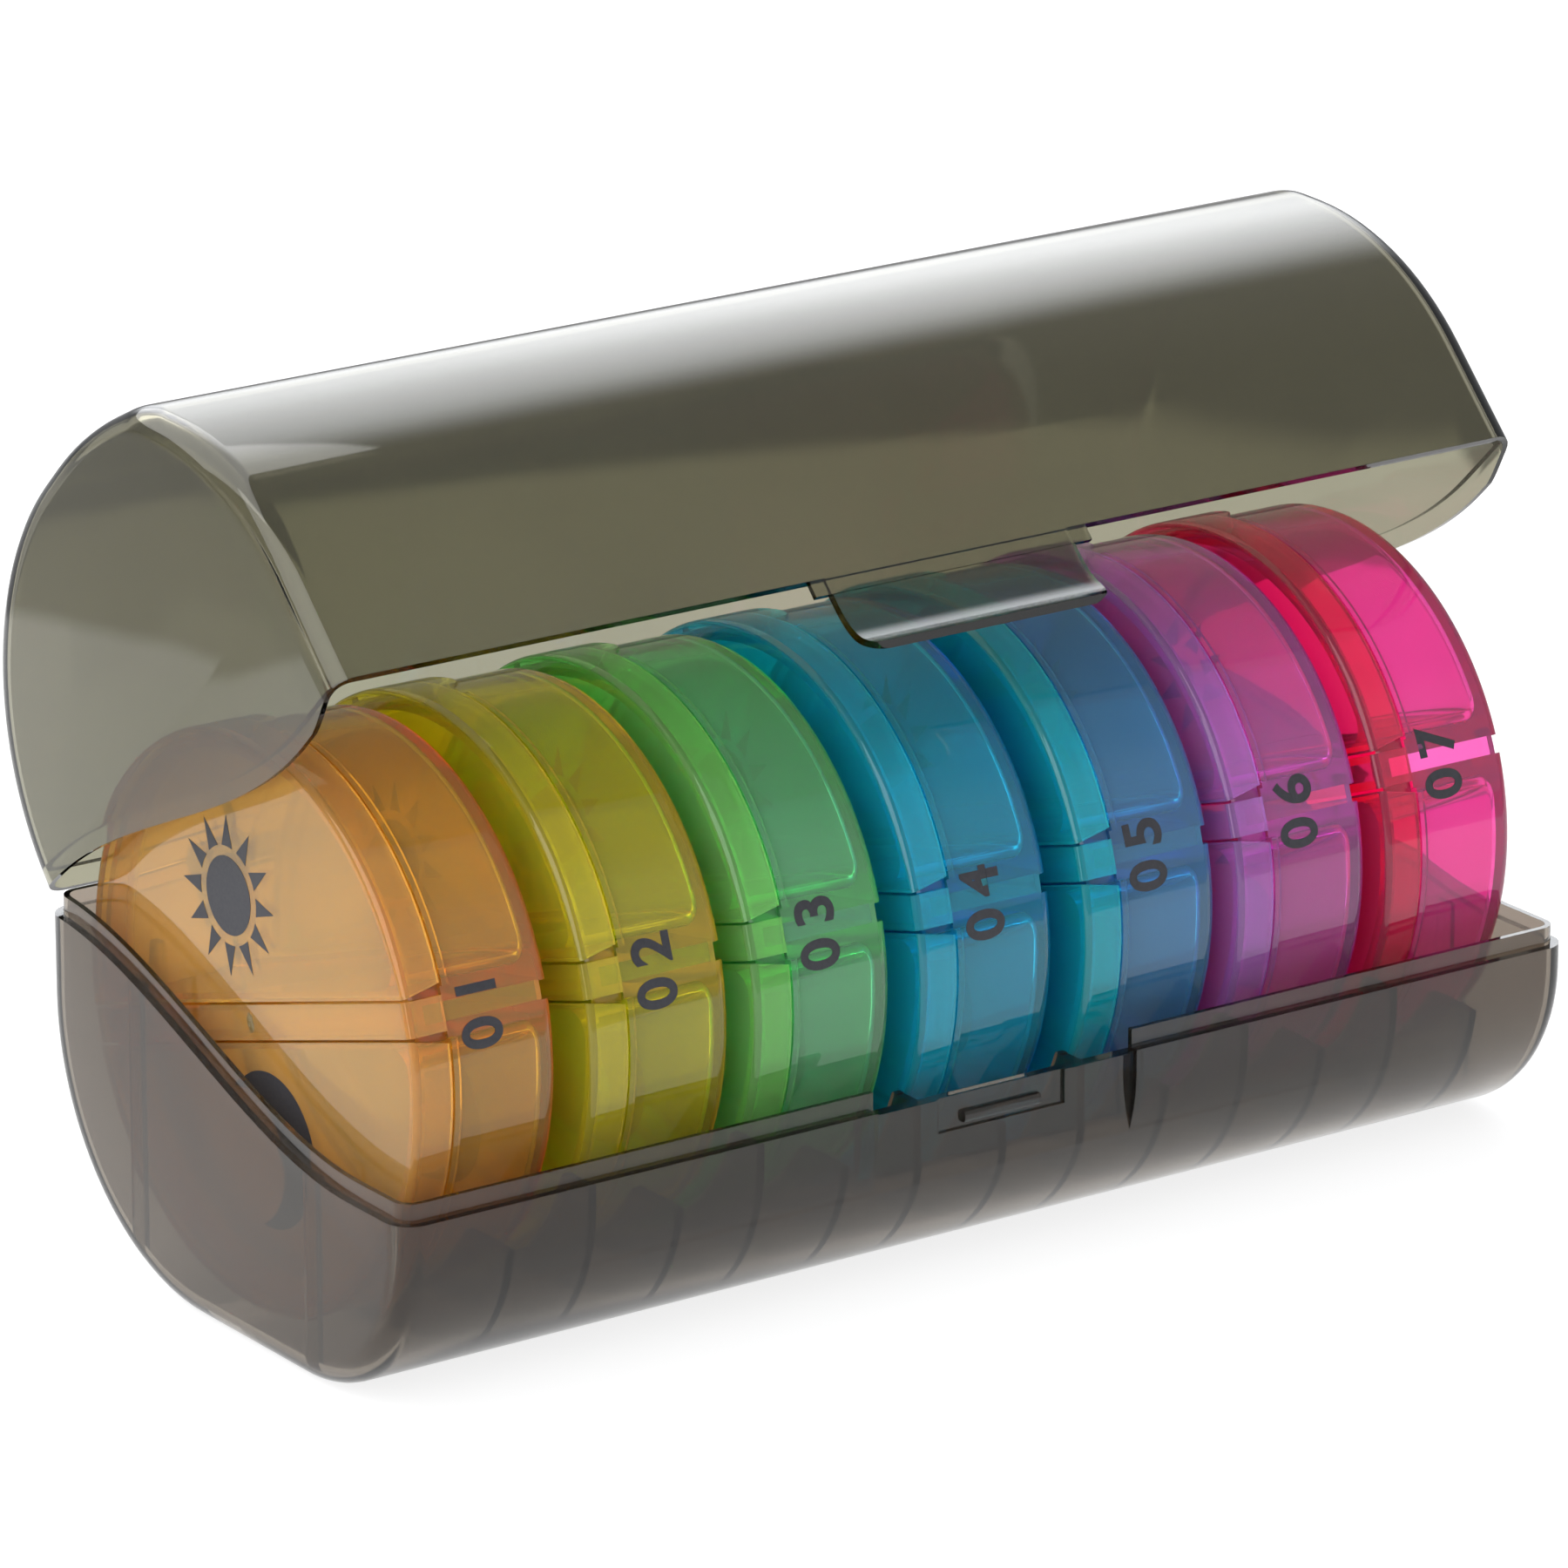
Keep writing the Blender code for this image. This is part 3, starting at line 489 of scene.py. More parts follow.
def rib_steps(places):
    """A cradle under each cup and a separator between neighbours."""
    steps = []
    faces = [places[day][0] for day in DAYS]
    for i, place in enumerate(faces):
        cradle = -BOX_ROW / 2 + DAY_PITCH * i + BOX_THICKNESS * CRADLE_PLACE_SHARE
        steps.append((rib(f"cradle_{i}", cradle, CUP_RADIUS + GAP, CRADLE_DROP), "UNION"))
        if i:
            middle = (faces[i - 1] + BOX_THICKNESS + place) / 2
            steps.append((rib(f"separator_{i}", middle, CAP_RADIUS + GAP, SEPARATOR_DROP), "UNION"))
    return steps


def end_rib_steps():
    """Two low upright ribs inside each end wall of the base."""
    steps = []
    inner = CASE_LENGTH / 2 - CASE_WALL
    for side in (-1, 1):
        for share in (-END_RIB_PLACE_SHARE, END_RIB_PLACE_SHARE):
            y = share * CASE_HALF_DEPTH
            ends = sorted((side * (inner - END_RIB_DEPTH), side * (inner + CASE_WALL / 2)))
            low = (ends[0], y - END_RIB_WIDTH / 2, CASE_WALL / 2)
            high = (ends[1], y + END_RIB_WIDTH / 2, rim_height(y) - SEPARATOR_DROP)
            name = f"end_rib_{side}_{share}"
            strip = block(name, low, high)
            combine(strip, [(case_solid(f"{name}_room", CASE_WALL / 2), "INTERSECT")])
            steps.append((strip, "UNION"))
    return steps


def catch_steps():
    """The latch panel set back in the front wall, its shallow window and the catch bar in it."""
    face = FRONT_WALL_Y + PANEL_SET_BACK
    top = FRONT_RIM - PANEL_TOP_DROP
    half = PANEL_WIDTH / 2
    plate = block("panel_plate", (-half - CASE_WALL, face, PANEL_BOTTOM),
                  (half + CASE_WALL, face + CASE_WALL, top))
    recess = block("panel_recess", (-half, FRONT_WALL_Y - OVERRUN, 0), (half, face, CASE_TOP))
    above = block("panel_top", (-half, FRONT_WALL_Y - OVERRUN, top),
                  (half, face + OVERRUN, FRONT_RIM + TONGUE_HEIGHT + OVERRUN))
    window = block("window", (-WINDOW_WIDTH / 2, face - OVERRUN, top - WINDOW_HEIGHT),
                   (WINDOW_WIDTH / 2, face + WINDOW_DEPTH, top + OVERRUN))
    low = top - WINDOW_HEIGHT / 2 - CATCH_HEIGHT
    middle = low + CATCH_HEIGHT / 2
    nose = arc((face, middle), 1, -HALF_TURN / 2, -HALF_TURN * 3 / 2, 10)
    outline = [(face + (y - face) * CATCH_REACH, middle + (z - middle) * CATCH_HEIGHT / 2) for y, z in nose]
    outline += [(face + CASE_WALL / 2, low + CATCH_HEIGHT), (face + CASE_WALL / 2, low)]
    bar = prism("catch_bar", outline, -CATCH_WIDTH / 2, CATCH_WIDTH / 2)
    cuts = [(recess, "DIFFERENCE"), (above, "DIFFERENCE"), (window, "DIFFERENCE")]
    return [(plate, "UNION"), *cuts, (bar, "UNION")]


def hinge_round(name, radius, low, high):
    outline = arc((HINGE_Y, HINGE_HEIGHT), radius, 0, 2 * HALF_TURN, EYE_STEPS)[:-1]
    return prism(name, outline, low, high)


def ear_spans(side):
    """Spans along X of both ears of one hinge, then of the lug between them."""
    middle = side * HINGE_PLACE
    inner = LUG_WIDTH / 2 + GAP
    ears = [(middle - inner - EAR_WIDTH, middle - inner), (middle + inner, middle + inner + EAR_WIDTH)]
    return ears, (middle - LUG_WIDTH / 2, middle + LUG_WIDTH / 2)


def rear_wall(z):
    """Y of the case's outside at the rear: upright in the middle, rounded above and below."""
    above = max(0, z - (CASE_TOP - REAR_CROWN_RADIUS))
    below = max(0, REAR_FOOT_RADIUS - z)
    crown = REAR_CROWN_RADIUS - math.sqrt(REAR_CROWN_RADIUS ** 2 - above ** 2)
    foot = REAR_FOOT_RADIUS - math.sqrt(REAR_FOOT_RADIUS ** 2 - below ** 2)
    return CASE_HALF_DEPTH - crown - foot


def hinge_leaf(name, span, direction):
    """A strip from the hinge eye along the rear wall, down on the base and up on the lid."""
    end = HINGE_HEIGHT + direction * LEAF_LENGTH
    wall = rear_wall(HINGE_HEIGHT) - CASE_WALL / 2
    wall_end = rear_wall(end)
    outline = [(wall_end - CASE_WALL / 2, end), (wall_end + LEAF_WALL / 2, end),
               (HINGE_Y + EYE_RADIUS, HINGE_HEIGHT), (wall, HINGE_HEIGHT)]
    return prism(name, outline, *span)


def ear_steps():
    """The hinge ears of the base, with room for the lid's lugs and bores for its pins."""
    steps = []
    for side in (-1, 1):
        ears, lug = ear_spans(side)
        room = hinge_round(f"lug_room_{side}", EYE_RADIUS + GAP, lug[0] - GAP, lug[1] + GAP)
        steps.append((room, "DIFFERENCE"))
        for k, span in enumerate(ears):
            steps.append((hinge_leaf(f"ear_leaf_{side}_{k}", span, -1), "UNION"))
            steps.append((hinge_round(f"ear_eye_{side}_{k}", EYE_RADIUS, *span), "UNION"))
            bore = hinge_round(f"ear_bore_{side}_{k}", PIN_RADIUS + GAP, span[0] - GAP, span[1] + GAP)
            steps.append((bore, "DIFFERENCE"))
    return steps


def build_base(places, material):
    base = case_solid("case_base_shell", 0)
    tongue = case_solid("tongue", CASE_WALL - TONGUE_WALL)
    combine(tongue, [(above_rim("tongue_rim", TONGUE_HEIGHT), "DIFFERENCE")])
    steps = [(above_rim("base_rim", 0), "DIFFERENCE"), (tongue, "UNION"),
             (case_solid("base_cavity", CASE_WALL), "DIFFERENCE")]
    combine(base, steps + rib_steps(places) + end_rib_steps() + catch_steps() + ear_steps())
    smooth(base)
    base.data.materials.append(material)
    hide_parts("case_base")
    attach(base, "base")


# Case lid

def flap_outline():
    """Section of the latch flap, curling outwards at its foot."""
    root = FRONT_RIM + GAP
    top = root + TONGUE_HEIGHT
    start = FRONT_WALL_Y + FLAP_STEP + FLAP_WALL
    outside = []
    inside = []
    for k in range(FLAP_STEPS + 1):
        share = k / FLAP_STEPS
        z = root - FLAP_LENGTH * share
        y = start - FLAP_CURL * share ** 3
        lean = math.atan(3 * FLAP_CURL * share ** 2 / FLAP_LENGTH)
        outside.append((y - FLAP_WALL * math.cos(lean), z + FLAP_WALL * math.sin(lean)))
        inside.append((y, z))
    return [(start - FLAP_WALL, top)] + outside + inside[::-1] + [(start, top)]


def build_flap():
    """The latch flap with its two lower corners rounded."""
    half = FLAP_WIDTH / 2
    flap = prism("flap", flap_outline(), -half, half)
    bottom = FRONT_RIM + GAP - FLAP_LENGTH - OVERRUN
    steps = []
    for side in (-1, 1):
        centre = (side * (half - FLAP_CORNER), bottom + OVERRUN + FLAP_CORNER)
        past = side * (half + OVERRUN)
        outline = [(past, centre[1]), (past, bottom), (centre[0], bottom)]
        outline += arc(centre, FLAP_CORNER, -HALF_TURN / 2, 0 if side > 0 else -HALF_TURN, 12)
        near = FRONT_WALL_Y - FLAP_CURL - OVERRUN
        rings = [[(x, y, z) for x, z in outline] for y in (near, FRONT_WALL_Y + OVERRUN)]
        name = f"flap_corner_{side}"
        steps.append((add_object(name, loft_mesh(name, rings)), "DIFFERENCE"))
    return combine(flap, steps)


def edge_cut(name, low, high):
    """Room under the lid's front edge, which is drawn up a little on both sides of the flap."""
    steps = 12
    outline = [(FRONT_WALL_Y - OVERRUN, FRONT_RIM + GAP + EDGE_LIFT)]
    for k in range(steps + 1):
        share = k / steps
        y = FRONT_WALL_Y + EDGE_BLEND * share
        lift = (EDGE_LIFT + EDGE_BREAK) * (1 - share * share * (3 - 2 * share)) - EDGE_BREAK
        outline.append((y, rim_height(y) + GAP + lift))
    outline.append((FRONT_WALL_Y + EDGE_BLEND, FRONT_RIM - OVERRUN))
    outline.append((FRONT_WALL_Y - OVERRUN, FRONT_RIM - OVERRUN))
    return prism(name, outline, low, high)


def build_lid(material):
    """The lid is shaped shut, then turned to where the frame has it open."""
    lid = case_solid("case_lid_shell", 0)
    rebate = case_solid("rebate", TONGUE_WALL)
    combine(rebate, [(above_rim("rebate_top", TONGUE_HEIGHT + GAP), "DIFFERENCE")])
    steps = [(above_rim("lid_rim", GAP), "INTERSECT"), (case_solid("lid_cavity", CASE_WALL), "DIFFERENCE"),
             (rebate, "DIFFERENCE")]
    band = FLAP_WIDTH / 2 + EDGE_SHOULDER
    past = CASE_LENGTH / 2 + OVERRUN
    steps += [(edge_cut("edge_cut_left", -past, -band), "DIFFERENCE"),
              (edge_cut("edge_cut_right", band, past), "DIFFERENCE"), (build_flap(), "UNION")]
    for side in (-1, 1):
        ears, lug = ear_spans(side)
        for k, span in enumerate(ears):
            room = hinge_round(f"ear_room_{side}_{k}", EYE_RADIUS + GAP, span[0] - GAP, span[1] + GAP)
            steps.append((room, "DIFFERENCE"))
        steps.append((hinge_leaf(f"lug_leaf_{side}", lug, 1), "UNION"))
        steps.append((hinge_round(f"lug_eye_{side}", EYE_RADIUS, *lug), "UNION"))
        steps.append((hinge_round(f"hinge_pin_{side}", PIN_RADIUS, ears[0][0], ears[1][1]), "UNION"))
    combine(lid, steps)
    hinge = [j for j in frame["joints"] if j["name"] == "case_lid_hinge"][0]
    open_angle = math.radians(hinge["range_deg"][0])
    axis = Vector((0, HINGE_Y, HINGE_HEIGHT))
    turn = Matrix.Translation(axis) @ Matrix.Rotation(open_angle, 4, "X") @ Matrix.Translation(-axis)
    lid.data.transform(turn)
    smooth(lid)
    lid.data.materials.append(material)
    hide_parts("case_lid")
    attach(lid, "lid")


# Day boxes, shaped round the X axis with the cap's face at X = 0

def pocket_outline(radius, chord, corner, side):
    """A half-round with rounded corners, above the divider (side 1) or below it (side -1)."""
    rise = chord + corner
    out = math.sqrt((radius - corner) ** 2 - rise ** 2)
    angle = math.atan2(rise, out)
    points = arc((out, rise), corner, -HALF_TURN / 2, angle, 8)
    points += arc((0, 0), radius, angle, HALF_TURN - angle, 64)[1:-1]
    points += arc((-out, rise), corner, HALF_TURN - angle, HALF_TURN * 3 / 2, 8)
    return [(y, side * z) for y, z in points]


def pocket(name, side):
    """The room of one compartment, drawn in round its floor."""
    radius = CUP_COLLAR_RADIUS - CUP_WALL
    chord = SLOT_WIDTH / 2 + DIVIDER_WALL
    floor = CUP_DEPTH - CUP_FLOOR
    steps = 6
    rings = [(CAP_PLATE - GAP, radius, chord + DIVIDER_DRAFT, POCKET_CORNER)]
    for k in range(steps + 1):
        turn = HALF_TURN / 2 * k / steps
        draw_in = POCKET_FILLET * (1 - math.cos(turn))
        x = floor - POCKET_FILLET * (1 - math.sin(turn))
        rings.append((x, radius - draw_in, chord + draw_in, POCKET_CORNER - draw_in))
    loft = [[(x, y, z) for y, z in pocket_outline(r, c, corner, side)] for x, r, c, corner in rings]
    return add_object(name, loft_mesh(name, loft))


def cup_mesh():
    """The round box with two compartments, the slot between them and the beads that hold the caps."""
    steps = 10
    turns = [HALF_TURN / 2 * k / steps for k in range(steps + 1)]
    edge = [(CUP_DEPTH - CUP_EDGE * (1 - math.sin(a)), CUP_RADIUS - CUP_EDGE * (1 - math.cos(a)))
            for a in turns]
    profile = [(CUP_FRONT, CUP_COLLAR_RADIUS - GAP), (CUP_FRONT + GAP, CUP_COLLAR_RADIUS),
               (BEAD_FROM, CUP_COLLAR_RADIUS), (BEAD_FROM, CUP_RADIUS)] + edge
    cup = turned("cup", profile, BOX_STEPS)
    inner = CUP_COLLAR_RADIUS - CUP_WALL
    changes = [(pocket("am_pocket", 1), "DIFFERENCE"), (pocket("pm_pocket", -1), "DIFFERENCE")]
    slot = block("slot", (CUP_FRONT + SLOT_FLOOR, -inner, -SLOT_WIDTH / 2),
                 (CUP_DEPTH + OVERRUN, inner, SLOT_WIDTH / 2))
    changes.append((slot, "DIFFERENCE"))
    start = math.asin((BAR_WIDTH / 2 + BEAD_MARGIN) / CUP_RADIUS)
    end = math.acos((THUMB_TAB_WIDTH / 2 + BEAD_MARGIN) / CUP_RADIUS)
    for side in (-1, 1):
        for turn in (0, HALF_TURN):
            angles = [turn + side * start, turn + side * end]
            outline = arc((0, 0), CUP_RADIUS + BEAD_HEIGHT, *angles)
            outline += arc((0, 0), CUP_RADIUS - CUP_WALL / 2, *angles[::-1])
            bead = prism(f"bead_{side}_{turn > 0}", outline, BEAD_FROM, BEAD_FROM + BEAD_WIDTH)
            changes.append((bead, "UNION"))
        ys = sorted((side * (inner - GAP), side * (CUP_RADIUS + OVERRUN)))
        notch = block(f"notch_{side}", (CUP_DEPTH - NOTCH_DEPTH, ys[0], -SLOT_WIDTH / 2),
                      (CUP_DEPTH + OVERRUN, ys[1], SLOT_WIDTH / 2))
        changes.append((notch, "DIFFERENCE"))
    combine(cup, changes)
    smooth(cup)
    data = cup.data
    bpy.data.objects.remove(cup)
    return data


def bar_mesh():
    """The strip between the caps, with both ends bent back over the rim like a staple."""
    outer = CAP_RADIUS - GAP
    inner = outer - BAR_END_WALL
    half = BAR_WIDTH / 2
    steps = 5
    turns = [HALF_TURN / 2 * k / steps for k in range(steps + 1)]
    corner = [(CAP_EDGE * (1 - math.sin(a)), outer - CAP_EDGE * (1 - math.cos(a))) for a in turns]
    right = corner[::-1] + [(SKIRT_DEPTH, outer), (SKIRT_DEPTH, inner), (CAP_PLATE, inner)]
    outline = right + [(x, -y) for x, y in right[::-1]]
    rings = [[(x, y, z) for x, y in outline] for z in (-half, half)]
    return smooth(add_object("bar", loft_mesh("bar", rings))).data


def cap_section(angle, end):
    """Section of a cap at one angle round its arc, or cut off slanting beside the bar."""
    y = CAP_RADIUS * math.cos(angle)
    share = max(0, min(1, (THUMB_TAB_WIDTH / 2 - abs(y)) / THUMB_TAB_RAMP))
    depth = SKIRT_DEPTH + THUMB_TAB_REACH * share * share * (3 - 2 * share)
    inner = CAP_RADIUS - SKIRT_WALL
    steps = 5
    turns = [HALF_TURN / 2 * k / steps for k in range(steps + 1)]
    points = [(CAP_EDGE * (1 - math.sin(a)), CAP_RADIUS - CAP_EDGE * (1 - math.cos(a)))
              for a in turns[::-1]]
    points += [(depth - EDGE_BREAK, CAP_RADIUS), (depth, CAP_RADIUS - EDGE_BREAK)]
    if share > 0:
        points += [(depth, CUP_RADIUS + GAP), (SKIRT_DEPTH, CUP_RADIUS + GAP)]
    else:
        points += [points[-1], points[-1]]
    points += [(SKIRT_DEPTH, inner + EDGE_BREAK), (SKIRT_DEPTH - EDGE_BREAK, inner), (CAP_PLATE, inner)]
    if not end:
        return [(x, r * math.cos(angle), r * math.sin(angle)) for x, r in points]
    row = []
    for x, r in points:
        z = BAR_WIDTH / 2 + GAP + SKIRT_END_SLANT * x / SKIRT_DEPTH
        row.append((x, math.copysign(math.sqrt(r * r - z * z), math.cos(angle)), z))
    return row


def cap_mesh(side):
    """The upper (side 1) or lower (side -1) half-round cap with its skirt and thumb tab."""
    half_steps = BOX_STEPS // 2
    angles = [HALF_TURN * k / half_steps for k in range(half_steps + 1)]
    angles = [a for a in angles if not 0 < min(a, HALF_TURN - a) < CAP_FIRST_STEP]
    work = bmesh.new()
    rows = []
    for angle in angles:
        section = cap_section(angle, end=min(angle, HALF_TURN - angle) < FINE_STEP)
        made = {}
        for x, y, z in section:
            if (x, y, z) not in made:
                made[(x, y, z)] = work.verts.new((x, y * side, z * side))
        rows.append([made[point] for point in section])
    for row, after in zip(rows, rows[1:]):
        for k in range(len(row) - 1):
            corners = dict.fromkeys((row[k], row[k + 1], after[k + 1], after[k]))
            if len(corners) > 2:
                work.faces.new(corners)
    work.faces.new([row[0] for row in rows])
    work.faces.new([row[-1] for row in rows])
    work.faces.new(dict.fromkeys(rows[0] + rows[-1][::-1]))
    return smooth(add_object(f"cap_{side}", finish_mesh(f"cap_{side}", work))).data


def flat_print(name, outlines, x):
    """Thin ink on a face: each (y, z) outline is raised off it, towards -X."""
    work = bmesh.new()
    for outline in outlines:
        near = [work.verts.new((x - INK_THICKNESS, y, z)) for y, z in outline]
        far = [work.verts.new((x, y, z)) for y, z in outline]
        work.faces.new(near)
        work.faces.new(far[::-1])
        for i in range(len(outline)):
            k = (i + 1) % len(outline)
            work.faces.new((near[i], far[i], far[k], near[k]))
    return finish_mesh(name, work)


def sun_mesh():
    """A plain disc in an even ring of separate pointed rays."""
    outlines = [arc((0, ICON_PLACE), SUN_DISC, 0, 2 * HALF_TURN, 64)[:-1]]
    for k in range(SUN_RAYS):
        middle = 2 * HALF_TURN * (k + 0.5) / SUN_RAYS
        spread = HALF_TURN / SUN_RAYS * SUN_RAY_SHARE
        points = arc((0, ICON_PLACE), SUN_RAY_FROM, middle - spread, middle + spread, 6)
        points.append((SUN_RAY_TO * math.cos(middle), ICON_PLACE + SUN_RAY_TO * math.sin(middle)))
        outlines.append(points)
    return flat_print("sun_print", outlines, 0)


def moon_mesh():
    """A plain crescent, open towards the rear of the case."""
    lean = MOON_LEAN
    gap = MOON_BITE_SHIFT
    near = math.acos((gap ** 2 + MOON_RADIUS ** 2 - MOON_BITE_RADIUS ** 2) / (2 * gap * MOON_RADIUS))
    far = math.acos((gap ** 2 + MOON_BITE_RADIUS ** 2 - MOON_RADIUS ** 2) / (2 * gap * MOON_BITE_RADIUS))
    centre = (0, -ICON_PLACE)
    outer = arc(centre, MOON_RADIUS, lean + near, lean + 2 * HALF_TURN - near, 72)
    bite = (centre[0] + gap * math.cos(lean), centre[1] + gap * math.sin(lean))
    inner = arc(bite, MOON_BITE_RADIUS, lean + HALF_TURN + far, lean + HALF_TURN - far, 48)
    return flat_print("moon_print", [outer + inner[1:-1]], 0)


def number_mesh(text):
    """A plain number bent round the cup, read from below upwards."""
    curve = bpy.data.curves.new("number", "FONT")
    curve.body = text
    curve.size = NUMBER_HEIGHT / FIGURE_SHARE
    curve.offset = NUMBER_HEIGHT * NUMBER_BOLDNESS
    curve.space_character = NUMBER_SPACING
    curve.resolution_u = 12
    curve.align_x = "CENTER"
    curve.extrude = INK_THICKNESS / 2
    item = add_object("number", curve)
    data = bpy.data.meshes.new_from_object(item)
    bpy.data.objects.remove(item)
    work = bmesh.new()
    work.from_mesh(data)
    for vertex in work.verts:
        along, up, out = vertex.co
        radius = CUP_RADIUS + INK_THICKNESS / 2 + out
        angle = HALF_TURN - (along - NUMBER_DROP) / CUP_RADIUS
        across = NUMBER_PLACE + NUMBER_HEIGHT / 2 - up
        vertex.co = (across, radius * math.cos(angle), radius * math.sin(angle))
    work.to_mesh(data)
    work.free()
    bpy.data.curves.remove(curve)
    return data


def scar_mesh():
    """The moulding's gate mark on the bar: a low rough dome."""
    work = bmesh.new()
    rings = []
    for ring in range(1, SCAR_RINGS + 1):
        share = ring / SCAR_RINGS
        points = []
        for k in range(SCAR_STEPS):
            angle = 2 * HALF_TURN * k / SCAR_STEPS
            wobble = 1 + SCAR_WOBBLE * noise.noise(Vector((math.cos(angle) * 2, math.sin(angle) * 2, 3)))
            radius = SCAR_RADIUS * share * wobble
            bumpy = 1 + SCAR_BUMPS * noise.noise(Vector((radius * 3000, angle, 1)))
            height = SCAR_HEIGHT * (1 - share ** 3) * bumpy
            place = (-height, SCAR_NARROWING * radius * math.cos(angle), radius * math.sin(angle))
            points.append(work.verts.new(place))
        rings.append(points)
    for row, after in zip(rings, rings[1:]):
        for k in range(SCAR_STEPS):
            j = (k + 1) % SCAR_STEPS
            work.faces.new((row[k], row[j], after[j], after[k]))
    work.faces.new(rings[0])
    work.faces.new(rings[-1][::-1])
    return finish_mesh("scar", work)


def place_box_piece(name, data, matrix, body, material, node=None):
    """A copy of a mesh in its day box's place, riding one of the box's bodies."""
    item = add_object(name, data.copy())
    item.data.materials.clear()
    item.data.materials.append(material)
    item.data.transform(matrix)
    if node:
        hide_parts(node)
    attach(item, body)


def build_boxes(places):
    parts = {"cup": cup_mesh(), "bar": bar_mesh(), "am": cap_mesh(1), "pm": cap_mesh(-1),
             "sun": sun_mesh(), "moon": moon_mesh(), "scar": scar_mesh()}
    for name in ("bar", "cap_1", "cap_-1"):
        bpy.data.objects.remove(bpy.data.objects[name])
    print_ink = ink("printed_ink", INK)
    number_ink = ink("number_ink", INK)
    for i, day in enumerate(DAYS):
        x, roll = places[day]
        matrix = Matrix.Translation((x, 0, BOX_AXIS_HEIGHT)) @ Matrix.Rotation(-roll, 4, "X")
        cup_tint, cap_tint, depth_tint = TINTS[day]
        cup_plastic = clear_plastic(f"{day}_cup_plastic", cup_tint, depth_tint, *BOX_FINISH)
        cap_plastic = clear_plastic(f"{day}_cap_plastic", cap_tint, depth_tint, *BOX_FINISH)
        box = f"{day}_box"
        place_box_piece(f"{day}_cup_shell", parts["cup"], matrix, box, cup_plastic, f"{day}_cup")
        place_box_piece(f"{day}_bar_shell", parts["bar"], matrix, box, cap_plastic, f"{day}_cap_bar")
        place_box_piece(f"{day}_scar", parts["scar"], matrix, box, cap_plastic)
        for label, print_name in (("am", "sun"), ("pm", "moon")):
            body = f"{day}_{label}_cap"
            node = f"{day}_{label}_lid"
            place_box_piece(f"{node}_shell", parts[label], matrix, body, cap_plastic, node)
            mark = f"{day}_{print_name}_print"
            place_box_piece(mark, parts[print_name], matrix, body, print_ink)
        number = number_mesh(f"{i + 1:02d}")
        place_box_piece(f"{day}_number", number, matrix, box, number_ink)


# Stage, light and view

def add_floor():
    """White where seen, with the shadows kept. In reflections it is a white sheet with an edge."""
    work = bmesh.new()
    half = FLOOR_SIZE / 2
    corners = ((-half, -half), (half, -half), (half, half), (-half, half))
    work.faces.new([work.verts.new((x, y, 0)) for x, y in corners])
    floor = add_object("floor", finish_mesh("floor", work))
    material = bpy.data.materials.new("floor_paper")
    material.use_nodes = True
    nodes, links = material.node_tree.nodes, material.node_tree.links
    nodes.clear()
    path = nodes.new("ShaderNodeLightPath")
    seen = nodes.new("ShaderNodeMath")
    seen.operation = "MAXIMUM"
    links.new(path.outputs["Is Camera Ray"], seen.inputs[0])
    links.new(path.outputs["Is Transmission Ray"], seen.inputs[1])
    also = nodes.new("ShaderNodeMath")
    also.operation = "MAXIMUM"
    links.new(seen.outputs[0], also.inputs[0])
    links.new(path.outputs["Is Glossy Ray"], also.inputs[1])
    shown = nodes.new("ShaderNodeBsdfDiffuse")
    shown.inputs["Color"].default_value = FLOOR_SHOWN
    lift = nodes.new("ShaderNodeEmission")
    lift.inputs["Color"].default_value = WHITE
    place = nodes.new("ShaderNodeTexCoord")
    away = nodes.new("ShaderNodeVectorMath")
    away.operation = "LENGTH"
    links.new(place.outputs["Object"], away.inputs[0])
    sheet = nodes.new("ShaderNodeMapRange")
    sheet.inputs["From Min"].default_value = SHEET_RADIUS
    sheet.inputs["From Max"].default_value = SHEET_RADIUS + SHEET_FADE
    sheet.inputs["To Min"].default_value = FLOOR_LIFT
    sheet.inputs["To Max"].default_value = FLOOR_LIFT * PAST_SHEET_SHARE
    links.new(away.outputs["Value"], sheet.inputs["Value"])
    unmirrored = nodes.new("ShaderNodeMath")
    unmirrored.operation = "MULTIPLY_ADD"
    unmirrored.inputs[1].default_value = -FLOOR_LIFT
    unmirrored.inputs[2].default_value = FLOOR_LIFT
    links.new(path.outputs["Is Glossy Ray"], unmirrored.inputs[0])
    level = nodes.new("ShaderNodeMath")
    level.operation = "MAXIMUM"
    links.new(sheet.outputs["Result"], level.inputs[0])
    links.new(unmirrored.outputs[0], level.inputs[1])
    links.new(level.outputs[0], lift.inputs["Strength"])
    both = nodes.new("ShaderNodeAddShader")
    links.new(shown.outputs[0], both.inputs[0])
    links.new(lift.outputs[0], both.inputs[1])
    lit = nodes.new("ShaderNodeBsdfDiffuse")
    lit.inputs["Color"].default_value = FLOOR_LIT
    pick = nodes.new("ShaderNodeMixShader")
    links.new(also.outputs[0], pick.inputs[0])
    links.new(lit.outputs[0], pick.inputs[1])
    links.new(both.outputs[0], pick.inputs[2])
    out = nodes.new("ShaderNodeOutputMaterial")
    links.new(pick.outputs[0], out.inputs["Surface"])
    floor.data.materials.append(material)


